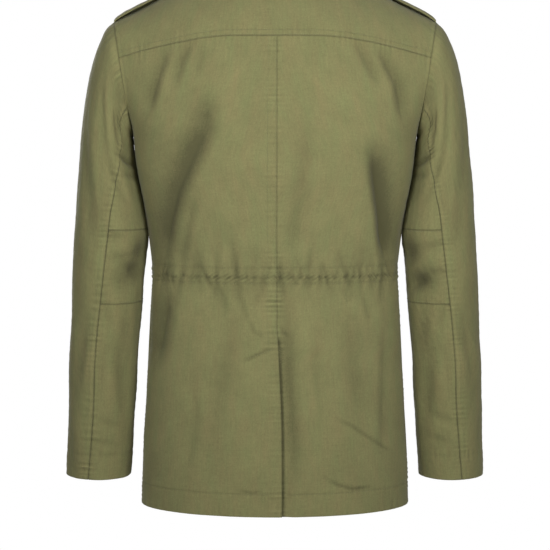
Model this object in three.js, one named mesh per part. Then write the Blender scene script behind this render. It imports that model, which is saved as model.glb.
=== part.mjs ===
// A safari jacket in olive cotton twill, standing out as it does when worn: two back panels under a shaped
// yoke, two fronts, two-piece sleeves with elbow panels, a collar on a stand, shoulder straps, patch pockets
// and buttons. Every cut piece of cloth is a thin closed wall of its own, 0.3 mm from the one it is sewn to.
// Millimetres, +X to the wearer's right, +Y to the front, +Z up. The origin is midway between the neck ends
// of the two shoulder seams, where the jacket hangs on the wearer.
import * as THREE from "three";

const CLOTH = 1.6; // wall of a single panel
const PATCH = 1.4; // wall of a piece sewn on top of a panel
const HALF_GAP = 0.15; // half of the gap between two pieces at their seam
const SHADE = 0x7f7d54;
const BUTTON_SHADE = 0x4c4a36;

// Heights on the body
const HEM = -775;
const UNDERARM = -232;
const WAIST = -437;
const VENT_TOP = -532;
const MIDDLE = -3; // the side seams' place, front to back

// Level sections of the body from the hem up: half width, depth behind and before the side seams, squareness
const BODY = [
  { height: -775, half: 196.4, back: 124.3, front: 136.3, square: 2.0 },
  { height: -690, half: 193.5, back: 121, front: 133, square: 2.05 },
  { height: -610, half: 188.5, back: 115, front: 128, square: 2.1 },
  { height: -530, half: 184.5, back: 107, front: 122, square: 2.15 },
  { height: -470, half: 181, back: 101, front: 117, square: 2.2 },
  { height: -437, half: 179, back: 99, front: 115, square: 2.2 },
  { height: -394, half: 183, back: 101, front: 116, square: 2.25 },
  { height: -340, half: 191, back: 107, front: 120, square: 2.35 },
  { height: -290, half: 199.5, back: 114, front: 124, square: 2.5 },
  { height: -232, half: 206, back: 120, front: 127, square: 2.75 },
];

// The neck seam is cut from the shoulders' form by an upright tube of two half ellipses
const NECK = { half: 74, back: 66, front: 62, share: 0.34, lowest: 0.3 };
const SHOULDER = { reach: 233, edge: 0.985 };
// The line along the top of the shoulders, from the middle of the neck to the shoulder point
const RIDGE = [
  { x: 0, back: 26, front: -6 },
  { x: 40, back: 17, front: -4 },
  { x: 74, back: 0, front: 0 },
  { x: 110, back: -14, front: -14 },
  { x: 150, back: -32, front: -32 },
  { x: 190, back: -52, front: -52 },
  { x: 233, back: -72, front: -72 },
];

// The chest line's fall below the underarm and how sharply it turns there
const CHEST = { drop: 34, turn: 5.5 };

// How each upper panel leaves the chest line and how it arrives at the line along the shoulders
const RISE = { back: 420, front: 265, easing: 0.7, turnIn: 1.5, low: 8 };
const ARMHOLE = {
  back: { depth: 272, inLow: -8 },
  front: { depth: 250, inLow: -12 },
};
const BACK_TOP = [
  { share: 0, out: 0, over: 300, up: 60 },
  { share: 0.18, out: 0, over: 300, up: 50 },
  { share: 0.34, out: 0, over: 295, up: 25 },
  { share: 0.55, out: 0, over: 270, up: 5 },
  { share: 0.8, out: 4, over: 250, up: 0 },
  { share: 1, out: 8, over: 272, up: 0 },
];
const FRONT_TOP = [
  { share: 0, out: 0, over: 185, up: 60 },
  { share: 0.18, out: 0, over: 185, up: 60 },
  { share: 0.34, out: 0, over: 195, up: 40 },
  { share: 0.55, out: 4, over: 205, up: 8 },
  { share: 0.8, out: 10, over: 230, up: 0 },
  { share: 1, out: 20, over: 250, up: 0 },
];

// The centre back seam drifts towards the wearer's right as it opens into the vent
const CENTRE_SEAM = [
  { height: -775, x: 10 },
  { height: -640, x: 9 },
  { height: -540, x: 5 },
  { height: -500, x: 3 },
  { height: 0, x: 3 },
];
const YOKE = { height: -96, flat: 60, reach: 160, fall: 30, turn: 1.6 };
const VENT = { underlap: 36, tuck: 2.3, ramp: 16, fade: 14, flat: 3 };

// The drawn-in waist: a puffed casing between two rows of stitching, crossed by the gathers
const CASING = { half: 9, puff: 1.3, easeHalf: 30, ease: 0.5 };
const GATHERS_BACK = [
  { x: -158, depth: 2.6, above: 26, below: 20, lean: 0.1 },
  { x: -145, depth: 3.2, above: 20, below: 26, lean: 0.25 },
  { x: -120, depth: 1.8, above: 42, below: 18, lean: 0.1 },
  { x: -109, depth: 2.2, above: 50, below: 22, lean: 0 },
  { x: -96, depth: 2.0, above: 36, below: 30, lean: -0.15 },
  { x: -80, depth: 1.8, above: 24, below: 26, lean: 0 },
  { x: -66, depth: 3.4, above: 60, below: 40, lean: -0.1 },
  { x: -44, depth: 1.6, above: 22, below: 22, lean: 0.1 },
  { x: -29, depth: 3.0, above: 40, below: 32, lean: 0 },
  { x: 13, depth: 3.6, above: 22, below: 50, lean: -0.1 },
  { x: 28, depth: 1.6, above: 50, below: 18, lean: 0.1 },
  { x: 43, depth: 2.4, above: 48, below: 22, lean: 0.2 },
  { x: 62, depth: 3.0, above: 34, below: 24, lean: 0.2 },
  { x: 76, depth: 2.2, above: 26, below: 26, lean: -0.3 },
  { x: 100, depth: 2.2, above: 30, below: 34, lean: -0.2 },
  { x: 113, depth: 2.8, above: 34, below: 26, lean: 0.2 },
  { x: 133, depth: 1.8, above: 24, below: 24, lean: 0 },
  { x: 159, depth: 3.2, above: 28, below: 36, lean: 0.1 },
];
const GATHERS_FRONT = [
  { x: 34, depth: 1.8, above: 28, below: 20, lean: 0.1 },
  { x: 55, depth: 2.4, above: 34, below: 30, lean: 0 },
  { x: 78, depth: 2.0, above: 26, below: 24, lean: -0.1 },
  { x: 101, depth: 2.8, above: 38, below: 26, lean: 0.1 },
  { x: 124, depth: 2.0, above: 24, below: 30, lean: 0 },
  { x: 150, depth: 2.8, above: 30, below: 24, lean: -0.1 },
];
const GATHER_WIDTH = 6.5;
const GATHER_SPREAD = 0.7; // how much wider a gather is at its ends than at the waist

// The largest folds of the cloth: a soft trough from one point to another, its depth and its half width.
// Each fades out over a share of its length, and all of them before the hem, the shoulders and the sides
const FOLD_FADE = 0.35;
const CALM = { aboveHem: 34, aboveUnderarm: 130, over: 60, side: 12 };
const FOLDS_BACK = [
  { x0: -97, z0: -190, x1: -152, z1: -410, depth: 8, width: 17 },
  { x0: -120, z0: -330, x1: -134, z1: -430, depth: 3.5, width: 10 },
  { x0: -150, z0: -112, x1: -178, z1: -205, depth: 4.5, width: 10 },
  { x0: -118, z0: -104, x1: -140, z1: -180, depth: 2.5, width: 9 },
  { x0: 146, z0: -112, x1: 180, z1: -215, depth: 5, width: 9 },
  { x0: 110, z0: -106, x1: 136, z1: -160, depth: 2.5, width: 8 },
  { x0: 146, z0: -290, x1: 166, z1: -415, depth: 7, width: 15 },
  { x0: 50, z0: -220, x1: 24, z1: -420, depth: 3.5, width: 13 },
  { x0: -152, z0: -455, x1: -172, z1: -560, depth: 4.5, width: 14 },
  { x0: 17, z0: -455, x1: 34, z1: -740, depth: 4, width: 12 },
  { x0: 92, z0: -646, x1: 168, z1: -694, depth: 2.2, width: 6 },
  { x0: 66, z0: -724, x1: 106, z1: -742, depth: 2.2, width: 6 },
  { x0: -60, z0: -470, x1: -96, z1: -690, depth: 2.5, width: 18 },
  { x0: 100, z0: -470, x1: 122, z1: -640, depth: 2.5, width: 18 },
];
const FOLDS_FRONT = [
  { x0: 190, z0: -130, x1: 192, z1: -250, depth: 4, width: 9 },
  { x0: 192, z0: -290, x1: 172, z1: -415, depth: 5, width: 11 },
  { x0: 62, z0: -358, x1: 74, z1: -425, depth: 3, width: 11 },
  { x0: 128, z0: -356, x1: 120, z1: -420, depth: 2.5, width: 10 },
  { x0: 36, z0: -300, x1: 30, z1: -410, depth: 2.5, width: 12 },
  { x0: 34, z0: -470, x1: 30, z1: -700, depth: 2.5, width: 10 },
];

// Sleeve sections from the armhole down: inner and outer point, front-to-back middle and half depth,
// the forward lean of the section, and where the back seam runs (degrees round, 0 outside, 90 behind)
const SLEEVE = [
  { at: 0, inX: 206, inZ: -232, outX: 233, outZ: -72, middle: -3, deep: 66, lean: 0, seam: 124 },
  { at: 13, inX: 206.8, inZ: -237, outX: 247, outZ: -90, middle: -3, deep: 69, lean: 0, seam: 123 },
  { at: 27, inX: 207.4, inZ: -242, outX: 257, outZ: -110, middle: -3, deep: 71, lean: 0, seam: 123.5 },
  { at: 45, inX: 206.3, inZ: -249, outX: 266, outZ: -138, middle: -3, deep: 72, lean: 0, seam: 126.5 },
  { at: 67, inX: 205.2, inZ: -259, outX: 273, outZ: -172, middle: -2, deep: 72, lean: 0, seam: 128.5 },
  { at: 96, inX: 203.4, inZ: -273, outX: 279, outZ: -216, middle: -2, deep: 71, lean: 0, seam: 124.5 },
  { at: 132, inX: 199.6, inZ: -297, outX: 283.5, outZ: -264, middle: -1, deep: 69, lean: 0, seam: 115.5 },
  { at: 175, inX: 193.8, inZ: -330, outX: 288.3, outZ: -318, middle: 0, deep: 66, lean: 0.5, seam: 102.5 },
  { at: 202, inX: 190.4, inZ: -352, outX: 290.5, outZ: -349, middle: 1, deep: 64, lean: 0.5, seam: 95 },
  { at: 239, inX: 185.6, inZ: -389, outX: 293.8, outZ: -385, middle: 2, deep: 61, lean: 1, seam: 89 },
  { at: 300, inX: 191.8, inZ: -448, outX: 296.8, outZ: -446, middle: 4, deep: 58, lean: 1.5, seam: 85.5 },
  { at: 358, inX: 197, inZ: -506, outX: 299.8, outZ: -505, middle: 7, deep: 56, lean: 2, seam: 82 },
  { at: 417, inX: 202, inZ: -565, outX: 302.6, outZ: -564, middle: 9, deep: 54, lean: 2, seam: 80 },
  { at: 475, inX: 205.2, inZ: -624, outX: 304.6, outZ: -623, middle: 12, deep: 52, lean: 2.5, seam: 80 },
  { at: 533, inX: 209.4, inZ: -683, outX: 306.4, outZ: -681, middle: 14, deep: 50, lean: 2.5, seam: 78 },
  { at: 588, inX: 213.7, inZ: -737, outX: 308.3, outZ: -736, middle: 16, deep: 48, lean: 2.5, seam: 75 },
];
const SLEEVE_LENGTH = 588;
const SLEEVE_CALM = { head: 12, cuff: 20, over: 30 }; // the plain stretches at the sleeve's two ends
const FRONT_SEAM = 235; // degrees round the sleeve
const ELBOW = { top: 222, foot: 330 }; // where the elbow panel's two cross seams run along the sleeve
const CAP_BLEND = 55; // how far down the sleeve the armhole's own shape is felt
// Folds of the sleeve: place along it, degrees round it, depth, and half sizes along and round
const FOLDS_SLEEVE = [
  { at: 80, turn: 84, depth: 5, long: 46, wide: 11, twist: 0.35 },
  { at: 255, turn: 152, depth: 6, long: 20, wide: 22, twist: 0 },
  { at: 292, turn: 120, depth: 2.5, long: 12, wide: 26, twist: 0 },
  { at: 190, turn: 60, depth: 2.5, long: 60, wide: 12, twist: 0.1 },
  { at: 395, turn: 55, depth: 3, long: 50, wide: 12, twist: -0.2 },
  { at: 455, turn: 130, depth: 3, long: 55, wide: 13, twist: 0.15 },
  { at: 240, turn: 300, depth: 4, long: 18, wide: 26, twist: 0 },
  { at: 205, turn: 285, depth: 3, long: 14, wide: 24, twist: 0 },
  { at: 90, turn: 282, depth: 4, long: 40, wide: 12, twist: -0.3 },
  { at: 400, turn: 300, depth: 3, long: 50, wide: 13, twist: 0.1 },
];

const FRONT_LAP = { over: 16, under: 20, tuck: 3.2, ramp: 18 };
// The collar: where it starts beside the front opening, the stand's height, wall and lean, and how the fall
// rolls over it and spreads on the shoulders
const COLLAR = {
  start: 0.012,
  stand: 31,
  standWall: 2.2,
  fallWall: 1.8,
  lean: 0.12,
  forward: 0.3,
  roll: 5,
  clear: 3.2,
};
// The fall's first points over the roll: out from the neck seam and up from the stand's top, in rolls
const ROLL = [
  { out: -0.12, high: 0.12 },
  { out: 0.12, high: 0.75 },
  { out: 0.45, high: 1 },
  { out: 0.9, high: 0.75 },
];
const FALL_ROWS = [0.3, 0.62, 1]; // shares of the way from the roll to the fall's edge
const FALL_BULGE = { leave: 0.25, arrive: 0.2 };
// The fall's lower edge, by degrees round the neck from the centre back: its reach out from the neck seam
// and how far it spreads sideways towards the collar's points
const FALL_EDGE = [
  { turn: 0, reach: 17, spread: 0 },
  { turn: 60, reach: 18, spread: 0 },
  { turn: 90, reach: 21, spread: 0 },
  { turn: 130, reach: 29, spread: 3 },
  { turn: 160, reach: 34, spread: 10 },
  { turn: 172, reach: 34, spread: 16 },
  { turn: 180, reach: 30, spread: 20 },
];

// A shoulder strap, from the armhole seam to its point by the collar: half width and height over the shoulder
const STRAP = [
  { x: 231.5, half: 23, lift: 2.6 },
  { x: 226, half: 23, lift: 4.6 },
  { x: 214, half: 23, lift: 7 },
  { x: 190, half: 22, lift: 7.5 },
  { x: 160, half: 21, lift: 7 },
  { x: 132, half: 20, lift: 5 },
  { x: 113, half: 19, lift: 3.4 },
  { x: 103, half: 4, lift: 2.8 },
];
const STRAP_WALL = 2;
const STRAP_FROM_NECK = STRAP.slice().reverse();
const STRAP_COLUMNS = [-1, -0.5, 0, 0.5, 1];
const STRAP_BUTTON = 117; // the button's distance from the middle of the neck

// Patch pockets and their flaps, from the centre outwards in shares of the half width
const CHEST_POCKET = { inner: 0.18, outer: 0.63, foot: -345, top: -215, flapFoot: -251, flapTop: -203 };
const HIP_POCKET = { inner: 0.18, outer: 0.79, foot: -695, top: -520, flapFoot: -561, flapTop: -507 };
const FLAP = { lip: 0.012, point: 11, step: 2.5, apart: 0.02, buttonUp: 3 };
const LAID = 0.8; // how far a sewn-on piece lies off the cloth below it
const LAID_CLEAR = { foot: 2, top: 6 }; // a laid piece's own rows keep this far from its ends

const BUTTON = { radius: 8.5, thick: 3, dish: 0.5, rim: 1.8, sides: 12 };
const BUTTON_LIFT = 0.5;
const SMALL_BUTTON = 0.8; // the pockets' and straps' buttons against the front's
const BUTTON_HEIGHTS = [-108, -192, -276, -360, -452, -544];

const STEP = 0.004; // shares between the points that give a surface's direction
const HALVINGS = 30; // steps of a search between two places

const point = (x, y, z) => new THREE.Vector3(x, y, z);
const radians = (degrees) => (degrees * Math.PI) / 180;
const mix = (a, b, t) => a + (b - a) * t;
const clamp = (value, low = 0, high = 1) => Math.min(high, Math.max(low, value));
const smooth = (t) => clamp(t) ** 2 * (3 - 2 * clamp(t));
const bell = (distance, width) => Math.exp(-((distance / width) ** 2));

// The value of a table's column at a place between its rows, on a smooth curve through them
function follow(rows, key, column, at) {
  let i = 0;
  while (i < rows.length - 2 && at > rows[i + 1][key]) i++;
  const slope = (j) => {
    const before = rows[Math.max(j - 1, 0)];
    const after = rows[Math.min(j + 1, rows.length - 1)];
    return (after[column] - before[column]) / (after[key] - before[key]);
  };
  const span = rows[i + 1][key] - rows[i][key];
  const t = clamp((at - rows[i][key]) / span);
  const [value, start, end] = [rows[i][column], slope(i) * span, slope(i + 1) * span];
  const next = rows[i + 1][column];
  const bend = 2 * t ** 3 - 3 * t ** 2;
  return value * (1 + bend) - next * bend + start * (t - 2 * t * t + t ** 3) + end * (t ** 3 - t * t);
}

// The place between two ends at which a rule that holds at the low end stops holding
function search(low, high, holds) {
  for (let i = 0; i < HALVINGS; i++) {
    const middle = (low + high) / 2;
    if (holds(middle)) low = middle;
    else high = middle;
  }
  return low;
}

// A curve that leaves one point and arrives at another with given directions
function arch(from, leave, to, arrive, t) {
  const bend = 2 * t ** 3 - 3 * t ** 2;
  return from
    .clone()
    .multiplyScalar(1 + bend)
    .addScaledVector(leave, t - 2 * t * t + t ** 3)
    .addScaledVector(to, -bend)
    .addScaledVector(arrive, t ** 3 - t * t);
}

// A point of the body's level section. face is -1 behind and 1 before, across runs from -1 to 1, side to side
function section(face, across, height) {
  const half = follow(BODY, "height", "half", height);
  const depth = follow(BODY, "height", face < 0 ? "back" : "front", height);
  const square = follow(BODY, "height", "square", height);
  const [s, c] = [Math.sin((across * Math.PI) / 2), Math.cos((across * Math.PI) / 2)];
  const reach = (Math.abs(s) ** square + Math.abs(c) ** square) ** (-1 / square);
  return point(half * s * reach, MIDDLE + face * depth * c * reach, height);
}

// The line along the top of the shoulders, from the middle of the neck to the shoulder point
function ridge(face, share) {
  const low = share < NECK.share;
  const x = low
    ? (NECK.half * share) / NECK.share
    : mix(NECK.half, SHOULDER.reach, (share - NECK.share) / (1 - NECK.share));
  return point(x, MIDDLE, follow(RIDGE, "x", face < 0 ? "back" : "front", x));
}

// The line from which the shoulders' form rises: level across the body, and up to the underarm at its ends
const chestLine = (across) => UNDERARM - CHEST.drop * (1 - Math.exp(-CHEST.turn * (1 - Math.abs(across))));

// The bare form of the body. up runs from -1 at the hem through 0 at the chest line to 1 at the top edge
function form(face, across, up) {
  const share = Math.abs(across);
  const chest = chestLine(share);
  if (up <= 0) return section(face, across, mix(chest, HEM, -up));
  const hole = face < 0 ? ARMHOLE.back : ARMHOLE.front;
  const start = section(face, share, chest);
  const below = section(face, share, chest - 1);
  const aside = section(face, share + 2 * STEP, chest);
  const tangent = aside.sub(section(face, share - 2 * STEP, chest)).normalize();
  const [s, c] = [Math.sin((share * Math.PI) / 2), Math.cos((share * Math.PI) / 2)];
  const rise = (face < 0 ? RISE.back : RISE.front) * Math.max(c, 0) ** RISE.easing;
  const leave = start.clone().sub(below).multiplyScalar(rise);
  leave.addScaledVector(tangent, -hole.depth * s ** RISE.turnIn);
  leave.x += hole.inLow * s ** RISE.low;
  const top = face < 0 ? BACK_TOP : FRONT_TOP;
  const arrive = point(
    follow(top, "share", "out", share),
    -face * follow(top, "share", "over", share),
    follow(top, "share", "up", share),
  );
  const made = arch(start, leave, ridge(face, share), arrive, up);
  if (across < 0) made.x = -made.x;
  return made;
}

// The depth of the folds at a place; each is deepest along its line
function troughAt(folds, x, z, mirrored) {
  let depth = 0;
  for (const fold of folds) {
    for (const side of mirrored ? [1, -1] : [1]) {
      const [dx, dz] = [fold.x1 - fold.x0, fold.z1 - fold.z0];
      const [px, pz] = [x * side - fold.x0, z - fold.z0];
      const length = Math.hypot(dx, dz);
      const along = (px * dx + pz * dz) / length ** 2;
      const aside = (px * dz - pz * dx) / length;
      const fade = smooth(along / FOLD_FADE + FOLD_FADE) * smooth((1 - along) / FOLD_FADE + FOLD_FADE);
      depth += fold.depth * fade * bell(aside, fold.width);
    }
  }
  return depth;
}

// The depth of the waist gathers at a place
function gatherAt(gathers, x, z, mirrored) {
  let depth = 0;
  const rise = z - WAIST;
  for (const gather of gathers) {
    for (const side of mirrored ? [1, -1] : [1]) {
      const reach = rise > 0 ? gather.above : gather.below;
      const width = GATHER_WIDTH * (1 + GATHER_SPREAD * Math.abs(rise / reach));
      const aside = x * side - gather.x - gather.lean * rise;
      depth += gather.depth * bell(rise, reach) * bell(aside, width);
    }
  }
  return depth;
}

const seamX = (height) => follow(CENTRE_SEAM, "height", "x", height);

// How far the cloth stands out of the bare form
function relief(face, bare) {
  const [x, z] = [bare.x, bare.z];
  const front = face > 0;
  const low = smooth((z - HEM) / CALM.aboveHem - 1);
  const high = smooth((UNDERARM + CALM.aboveUnderarm - z) / CALM.over + 0.5);
  const folds = troughAt(front ? FOLDS_FRONT : FOLDS_BACK, x, z, front);
  const gathers = gatherAt(front ? GATHERS_FRONT : GATHERS_BACK, x, z, front);
  const puff = CASING.puff * bell(z - WAIST, CASING.half) + CASING.ease * bell(z - WAIST, CASING.easeHalf);
  const aside = smooth((follow(BODY, "height", "half", z) - Math.abs(x)) / CALM.side);
  return puff - low * high * aside * folds - gathers * smooth(aside + 0.4);
}

// The outward direction of the bare body at a place
function bodyNormal(face, across, up) {
  const [low, high] = [Math.max(up - STEP, -1), Math.min(up + STEP, 1)];
  const alongU = form(face, across + STEP, up).sub(form(face, across - STEP, up));
  const alongV = form(face, across, high).sub(form(face, across, low));
  return alongU.cross(alongV).normalize().multiplyScalar(-face);
}

// A point of the cloth on the body, a distance out from its outer side
function body(face, across, up, out = 0) {
  const bare = form(face, across, up);
  return bare.clone().addScaledVector(bodyNormal(face, across, up), relief(face, bare) + out);
}

// The armhole seam, by degrees round it: 0 at the shoulder point, 90 behind, 180 under the arm
function armhole(turn) {
  const round = ((turn % 360) + 360) % 360;
  return round <= 180 ? form(-1, 1, 1 - round / 180) : form(1, 1, round / 180 - 1);
}

// A point of the sleeve's bare tube, for the wearer's right arm
function tube(turn, at) {
  const row = (column) => follow(SLEEVE, "at", column, at);
  const outer = point(row("outX"), row("middle"), row("outZ"));
  const inner = point(row("inX"), row("middle"), row("inZ"));
  const [lean, angle] = [radians(row("lean")), radians(turn)];
  const forward = point(0, Math.cos(lean), Math.sin(lean));
  return outer
    .clone()
    .add(inner)
    .multiplyScalar(0.5)
    .addScaledVector(outer.clone().sub(inner), Math.cos(angle) / 2)
    .addScaledVector(forward, -row("deep") * Math.sin(angle));
}

// The sleeve's surface: the tube, drawn to the armhole's own line near its head, with its folds pressed in
function bareSleeve(turn, at) {
  const drawn = armhole(turn).sub(tube(turn, 0));
  return tube(turn, at).addScaledVector(drawn, 1 - smooth(at / CAP_BLEND));
}

function sleeveNormal(turn, at) {
  const low = Math.max(at - 1.5, 0);
  const alongU = bareSleeve(turn - 1, at).sub(bareSleeve(turn + 1, at));
  const alongV = bareSleeve(turn, low + 3).sub(bareSleeve(turn, low));
  return alongV.cross(alongU).normalize();
}

function sleeve(turn, at, out = 0) {
  let press = 0;
  for (const fold of FOLDS_SLEEVE) {
    const along = at - fold.at;
    press += fold.depth * bell(along, fold.long) * bell(turn - fold.turn - fold.twist * along, fold.wide);
  }
  const { head, cuff, over } = SLEEVE_CALM;
  const calm = smooth((at - head) / over) * smooth((SLEEVE_LENGTH - cuff - at) / over);
  return bareSleeve(turn, at).addScaledVector(sleeveNormal(turn, at), out - press * calm);
}

// How the armhole's edge is mitred: where the panel's direction is read, and its tilt under the arm
const MITRE = { across: 0.985, ends: 0.02, tilt: 0.35, tiltTurn: 40 };

// A spot of the armhole seam's edge, which is mitred halfway between the panel's outside and the sleeve's.
// aside is -1 for the body's edge and 1 for the sleeve's
function armholeSpot(turn, aside, mirrored, key) {
  const round = ((turn % 360) + 360) % 360;
  const face = round <= 180 ? -1 : 1;
  const up = clamp(face < 0 ? 1 - round / 180 : round / 180 - 1, MITRE.ends, 1 - MITRE.ends);
  const out = bodyNormal(face, MITRE.across, up).add(sleeveNormal(round, 0.5));
  out.z -= MITRE.tilt * bell(round - 180, MITRE.tiltTurn);
  out.normalize();
  const along = armhole(round + 1).sub(armhole(round - 1)).normalize();
  const apart = out.clone().cross(along).normalize();
  const outer = armhole(round).addScaledVector(apart, aside * HALF_GAP);
  const inner = outer.clone().addScaledVector(out, -CLOTH);
  if (mirrored) [outer, inner].forEach((spot) => (spot.x = -spot.x));
  return { share: key, outer, inner };
}

// A closed wall of cloth. rows holds lists of { outer, inner } points; neighbouring rows may differ in number
function wall(name, rows) {
  const ids = [];
  const points = [];
  rows.forEach((row) => ids.push(row.map((spot) => points.push(spot) - 1)));
  const faces = [];
  for (let j = 0; j + 1 < rows.length; j++) {
    const [low, high] = [ids[j], ids[j + 1]];
    let [a, b] = [0, 0];
    while (a < low.length - 1 || b < high.length - 1) {
      const nextLow = a < low.length - 1 ? points[low[a + 1]].share : Infinity;
      const nextHigh = b < high.length - 1 ? points[high[b + 1]].share : Infinity;
      if (nextLow <= nextHigh) {
        faces.push([low[a], low[a + 1], high[b]]);
        a++;
      } else {
        faces.push([low[a], high[b + 1], high[b]]);
        b++;
      }
    }
  }
  const count = points.length;
  const rim = new Map();
  for (const [a, b, c] of faces) {
    for (const [from, to] of [[a, b], [b, c], [c, a]]) {
      if (rim.has(`${to},${from}`)) rim.delete(`${to},${from}`);
      else rim.set(`${from},${to}`, [from, to]);
    }
  }
  const index = [];
  for (const [a, b, c] of faces) index.push(a, b, c, a + count, c + count, b + count);
  for (const [from, to] of rim.values()) index.push(to, from, from + count, to, from + count, to + count);
  const places = [...points.map((spot) => spot.outer), ...points.map((spot) => spot.inner)];
  return solid(name, places, index);
}

// A named mesh of a closed surface, turned so that its faces point out
function solid(name, places, index) {
  let volume = 0;
  for (let i = 0; i < index.length; i += 3) {
    const [a, b, c] = [places[index[i]], places[index[i + 1]], places[index[i + 2]]];
    volume += a.dot(b.clone().cross(c));
  }
  const turned = volume < 0 ? index.slice().reverse() : index;
  const geometry = new THREE.BufferGeometry();
  const numbers = places.flatMap((place) => [place.x, place.y, place.z]);
  geometry.setAttribute("position", new THREE.Float32BufferAttribute(numbers, 3));
  geometry.setIndex(turned);
  const mesh = new THREE.Mesh(geometry, new THREE.MeshStandardMaterial({ color: SHADE, roughness: 0.9 }));
  mesh.name = name;
  return mesh;
}

const EDGE_TURN = 0.12; // degrees round the armhole that cover half a seam's gap
// Columns of every body panel, as shares of the half width from the centre to the side
const SHARES = [
  ...[0, 0.06, 0.12, 0.18, 0.24, 0.29, 0.32, NECK.share],
  ...[0.4, 0.47, 0.55, 0.63, 0.71, 0.79, 0.87, 0.94, 1],
];
// The least distance between two columns at the gathers, and the last place for one before the side seam
const COLUMN = { apart: 0.018, last: 0.985 };
// Heights of the body panels' rows up to the chest line
const LOW_ROWS = [HEM + 0.1, -741, -695, -650, -605, -565, VENT_TOP, -520, -490];
const WAIST_ROWS = [-466, -450, WAIST, -424, -406];
const HIGH_ROWS = [-378, -345, -310, -280];

// The share of the half width at which the body reaches a distance from the centre, at one height
function acrossAt(face, x, height) {
  return Math.sign(x) * search(0, 1, (across) => section(face, across, height).x < Math.abs(x));
}

const spread = (low, high, count) => Array.from({ length: count }, (_, i) => mix(low, high, i / (count - 1)));

// A spot of a wall on the body: its outer point and the point behind it, with a mitred edge at the armhole
function bodySpot(face, across, up, { out = 0, key = across } = {}) {
  if (Math.abs(across) === 1 && up >= 0) {
    const turn = clamp(180 * (1 - up), EDGE_TURN, 180 - EDGE_TURN);
    return armholeSpot(face < 0 ? turn : 360 - turn, -1, across < 0, key);
  }
  const outer = body(face, across, up, out);
  const through = bodyNormal(face, across, up);
  const sewn = up > SHOULDER.edge && Math.abs(across) >= NECK.share;
  if (sewn) through.add(bodyNormal(-face, across, 1)).normalize();
  return { share: key, outer, inner: outer.clone().addScaledVector(through, -CLOTH) };
}

// The place of a height, up to the chest line, and of a distance across or up, in shares
const upOf = (height, across) => (height - chestLine(across)) / (chestLine(across) - HEM);
const shareOf = (face, across, up, distance) => {
  const away = form(face, across + STEP / 2, up).distanceTo(form(face, across - STEP / 2, up));
  return (distance * STEP) / away;
};
const riseOf = (face, across, up, distance) => {
  const middle = clamp(up, STEP / 2 - 1, 1 - STEP / 2);
  const away = form(face, across, middle + STEP / 2).distanceTo(form(face, across, middle - STEP / 2));
  return (distance * STEP) / away;
};

// The columns of one side between a start near the centre and the side seam
function columnsOf(start, side, gathers, height) {
  const far = side * start;
  const spots = gathers ? [] : SHARES.slice(0, -1);
  for (const gather of gathers ?? []) {
    const centre = (gather.x + gather.lean * (height - WAIST)) * side;
    for (const aside of [-GATHER_WIDTH, 0, GATHER_WIDTH]) {
      spots.push(Math.abs(acrossAt(-1, centre + aside, height)));
    }
  }
  const inside = [far];
  for (const spot of spots.sort((a, b) => a - b)) {
    if (spot > inside[inside.length - 1] + COLUMN.apart && spot < COLUMN.last) inside.push(spot);
  }
  return [...inside, 1].map((share) => share * side).sort((a, b) => a - b);
}

// Where the back yoke's seam crosses a column of the back
function yokeSeam(across) {
  return search(0, 1, (up) => {
    const { x, z } = form(-1, across, up);
    return z < YOKE.height - YOKE.fall * Math.max((Math.abs(x) - YOKE.flat) / YOKE.reach, 0) ** YOKE.turn;
  });
}

// Where the rows of the back, the yoke and the front lie above the chest line, as shares of their own rise
const BACK_ROWS = [0, 0.16, 0.34, 0.54, 0.77, 1];
const YOKE_ROWS = [0, 0.2, 0.4, 0.6, 0.8, 1];
const FRONT_ROWS = [0, 0.1, 0.2, 0.32, 0.5, 0.68, 0.86, 1];
const backUp = (across, part) => part * (yokeSeam(across) - riseOf(-1, across, yokeSeam(across), HALF_GAP));
const yokeUp = (across, part) => {
  const seam = yokeSeam(across);
  const low = seam + riseOf(-1, across, seam, HALF_GAP);
  return mix(low, topUp(-1, across), part);
};

// How far up a column of the body reaches: to the neck seam, or to the shoulder seam
function topUp(face, across) {
  const share = Math.abs(across);
  const deep = face < 0 ? NECK.back : NECK.front;
  const outside = (up) => {
    const { x, y } = form(face, share, up);
    return Math.hypot(x / NECK.half, (y - MIDDLE) / deep) > 1;
  };
  const top = share >= NECK.share ? 1 : search(NECK.lowest, 1, outside);
  return top - riseOf(face, Math.min(share, COLUMN.last), top, HALF_GAP);
}
const frontUp = (across, part) => part * topUp(1, across);

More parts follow.
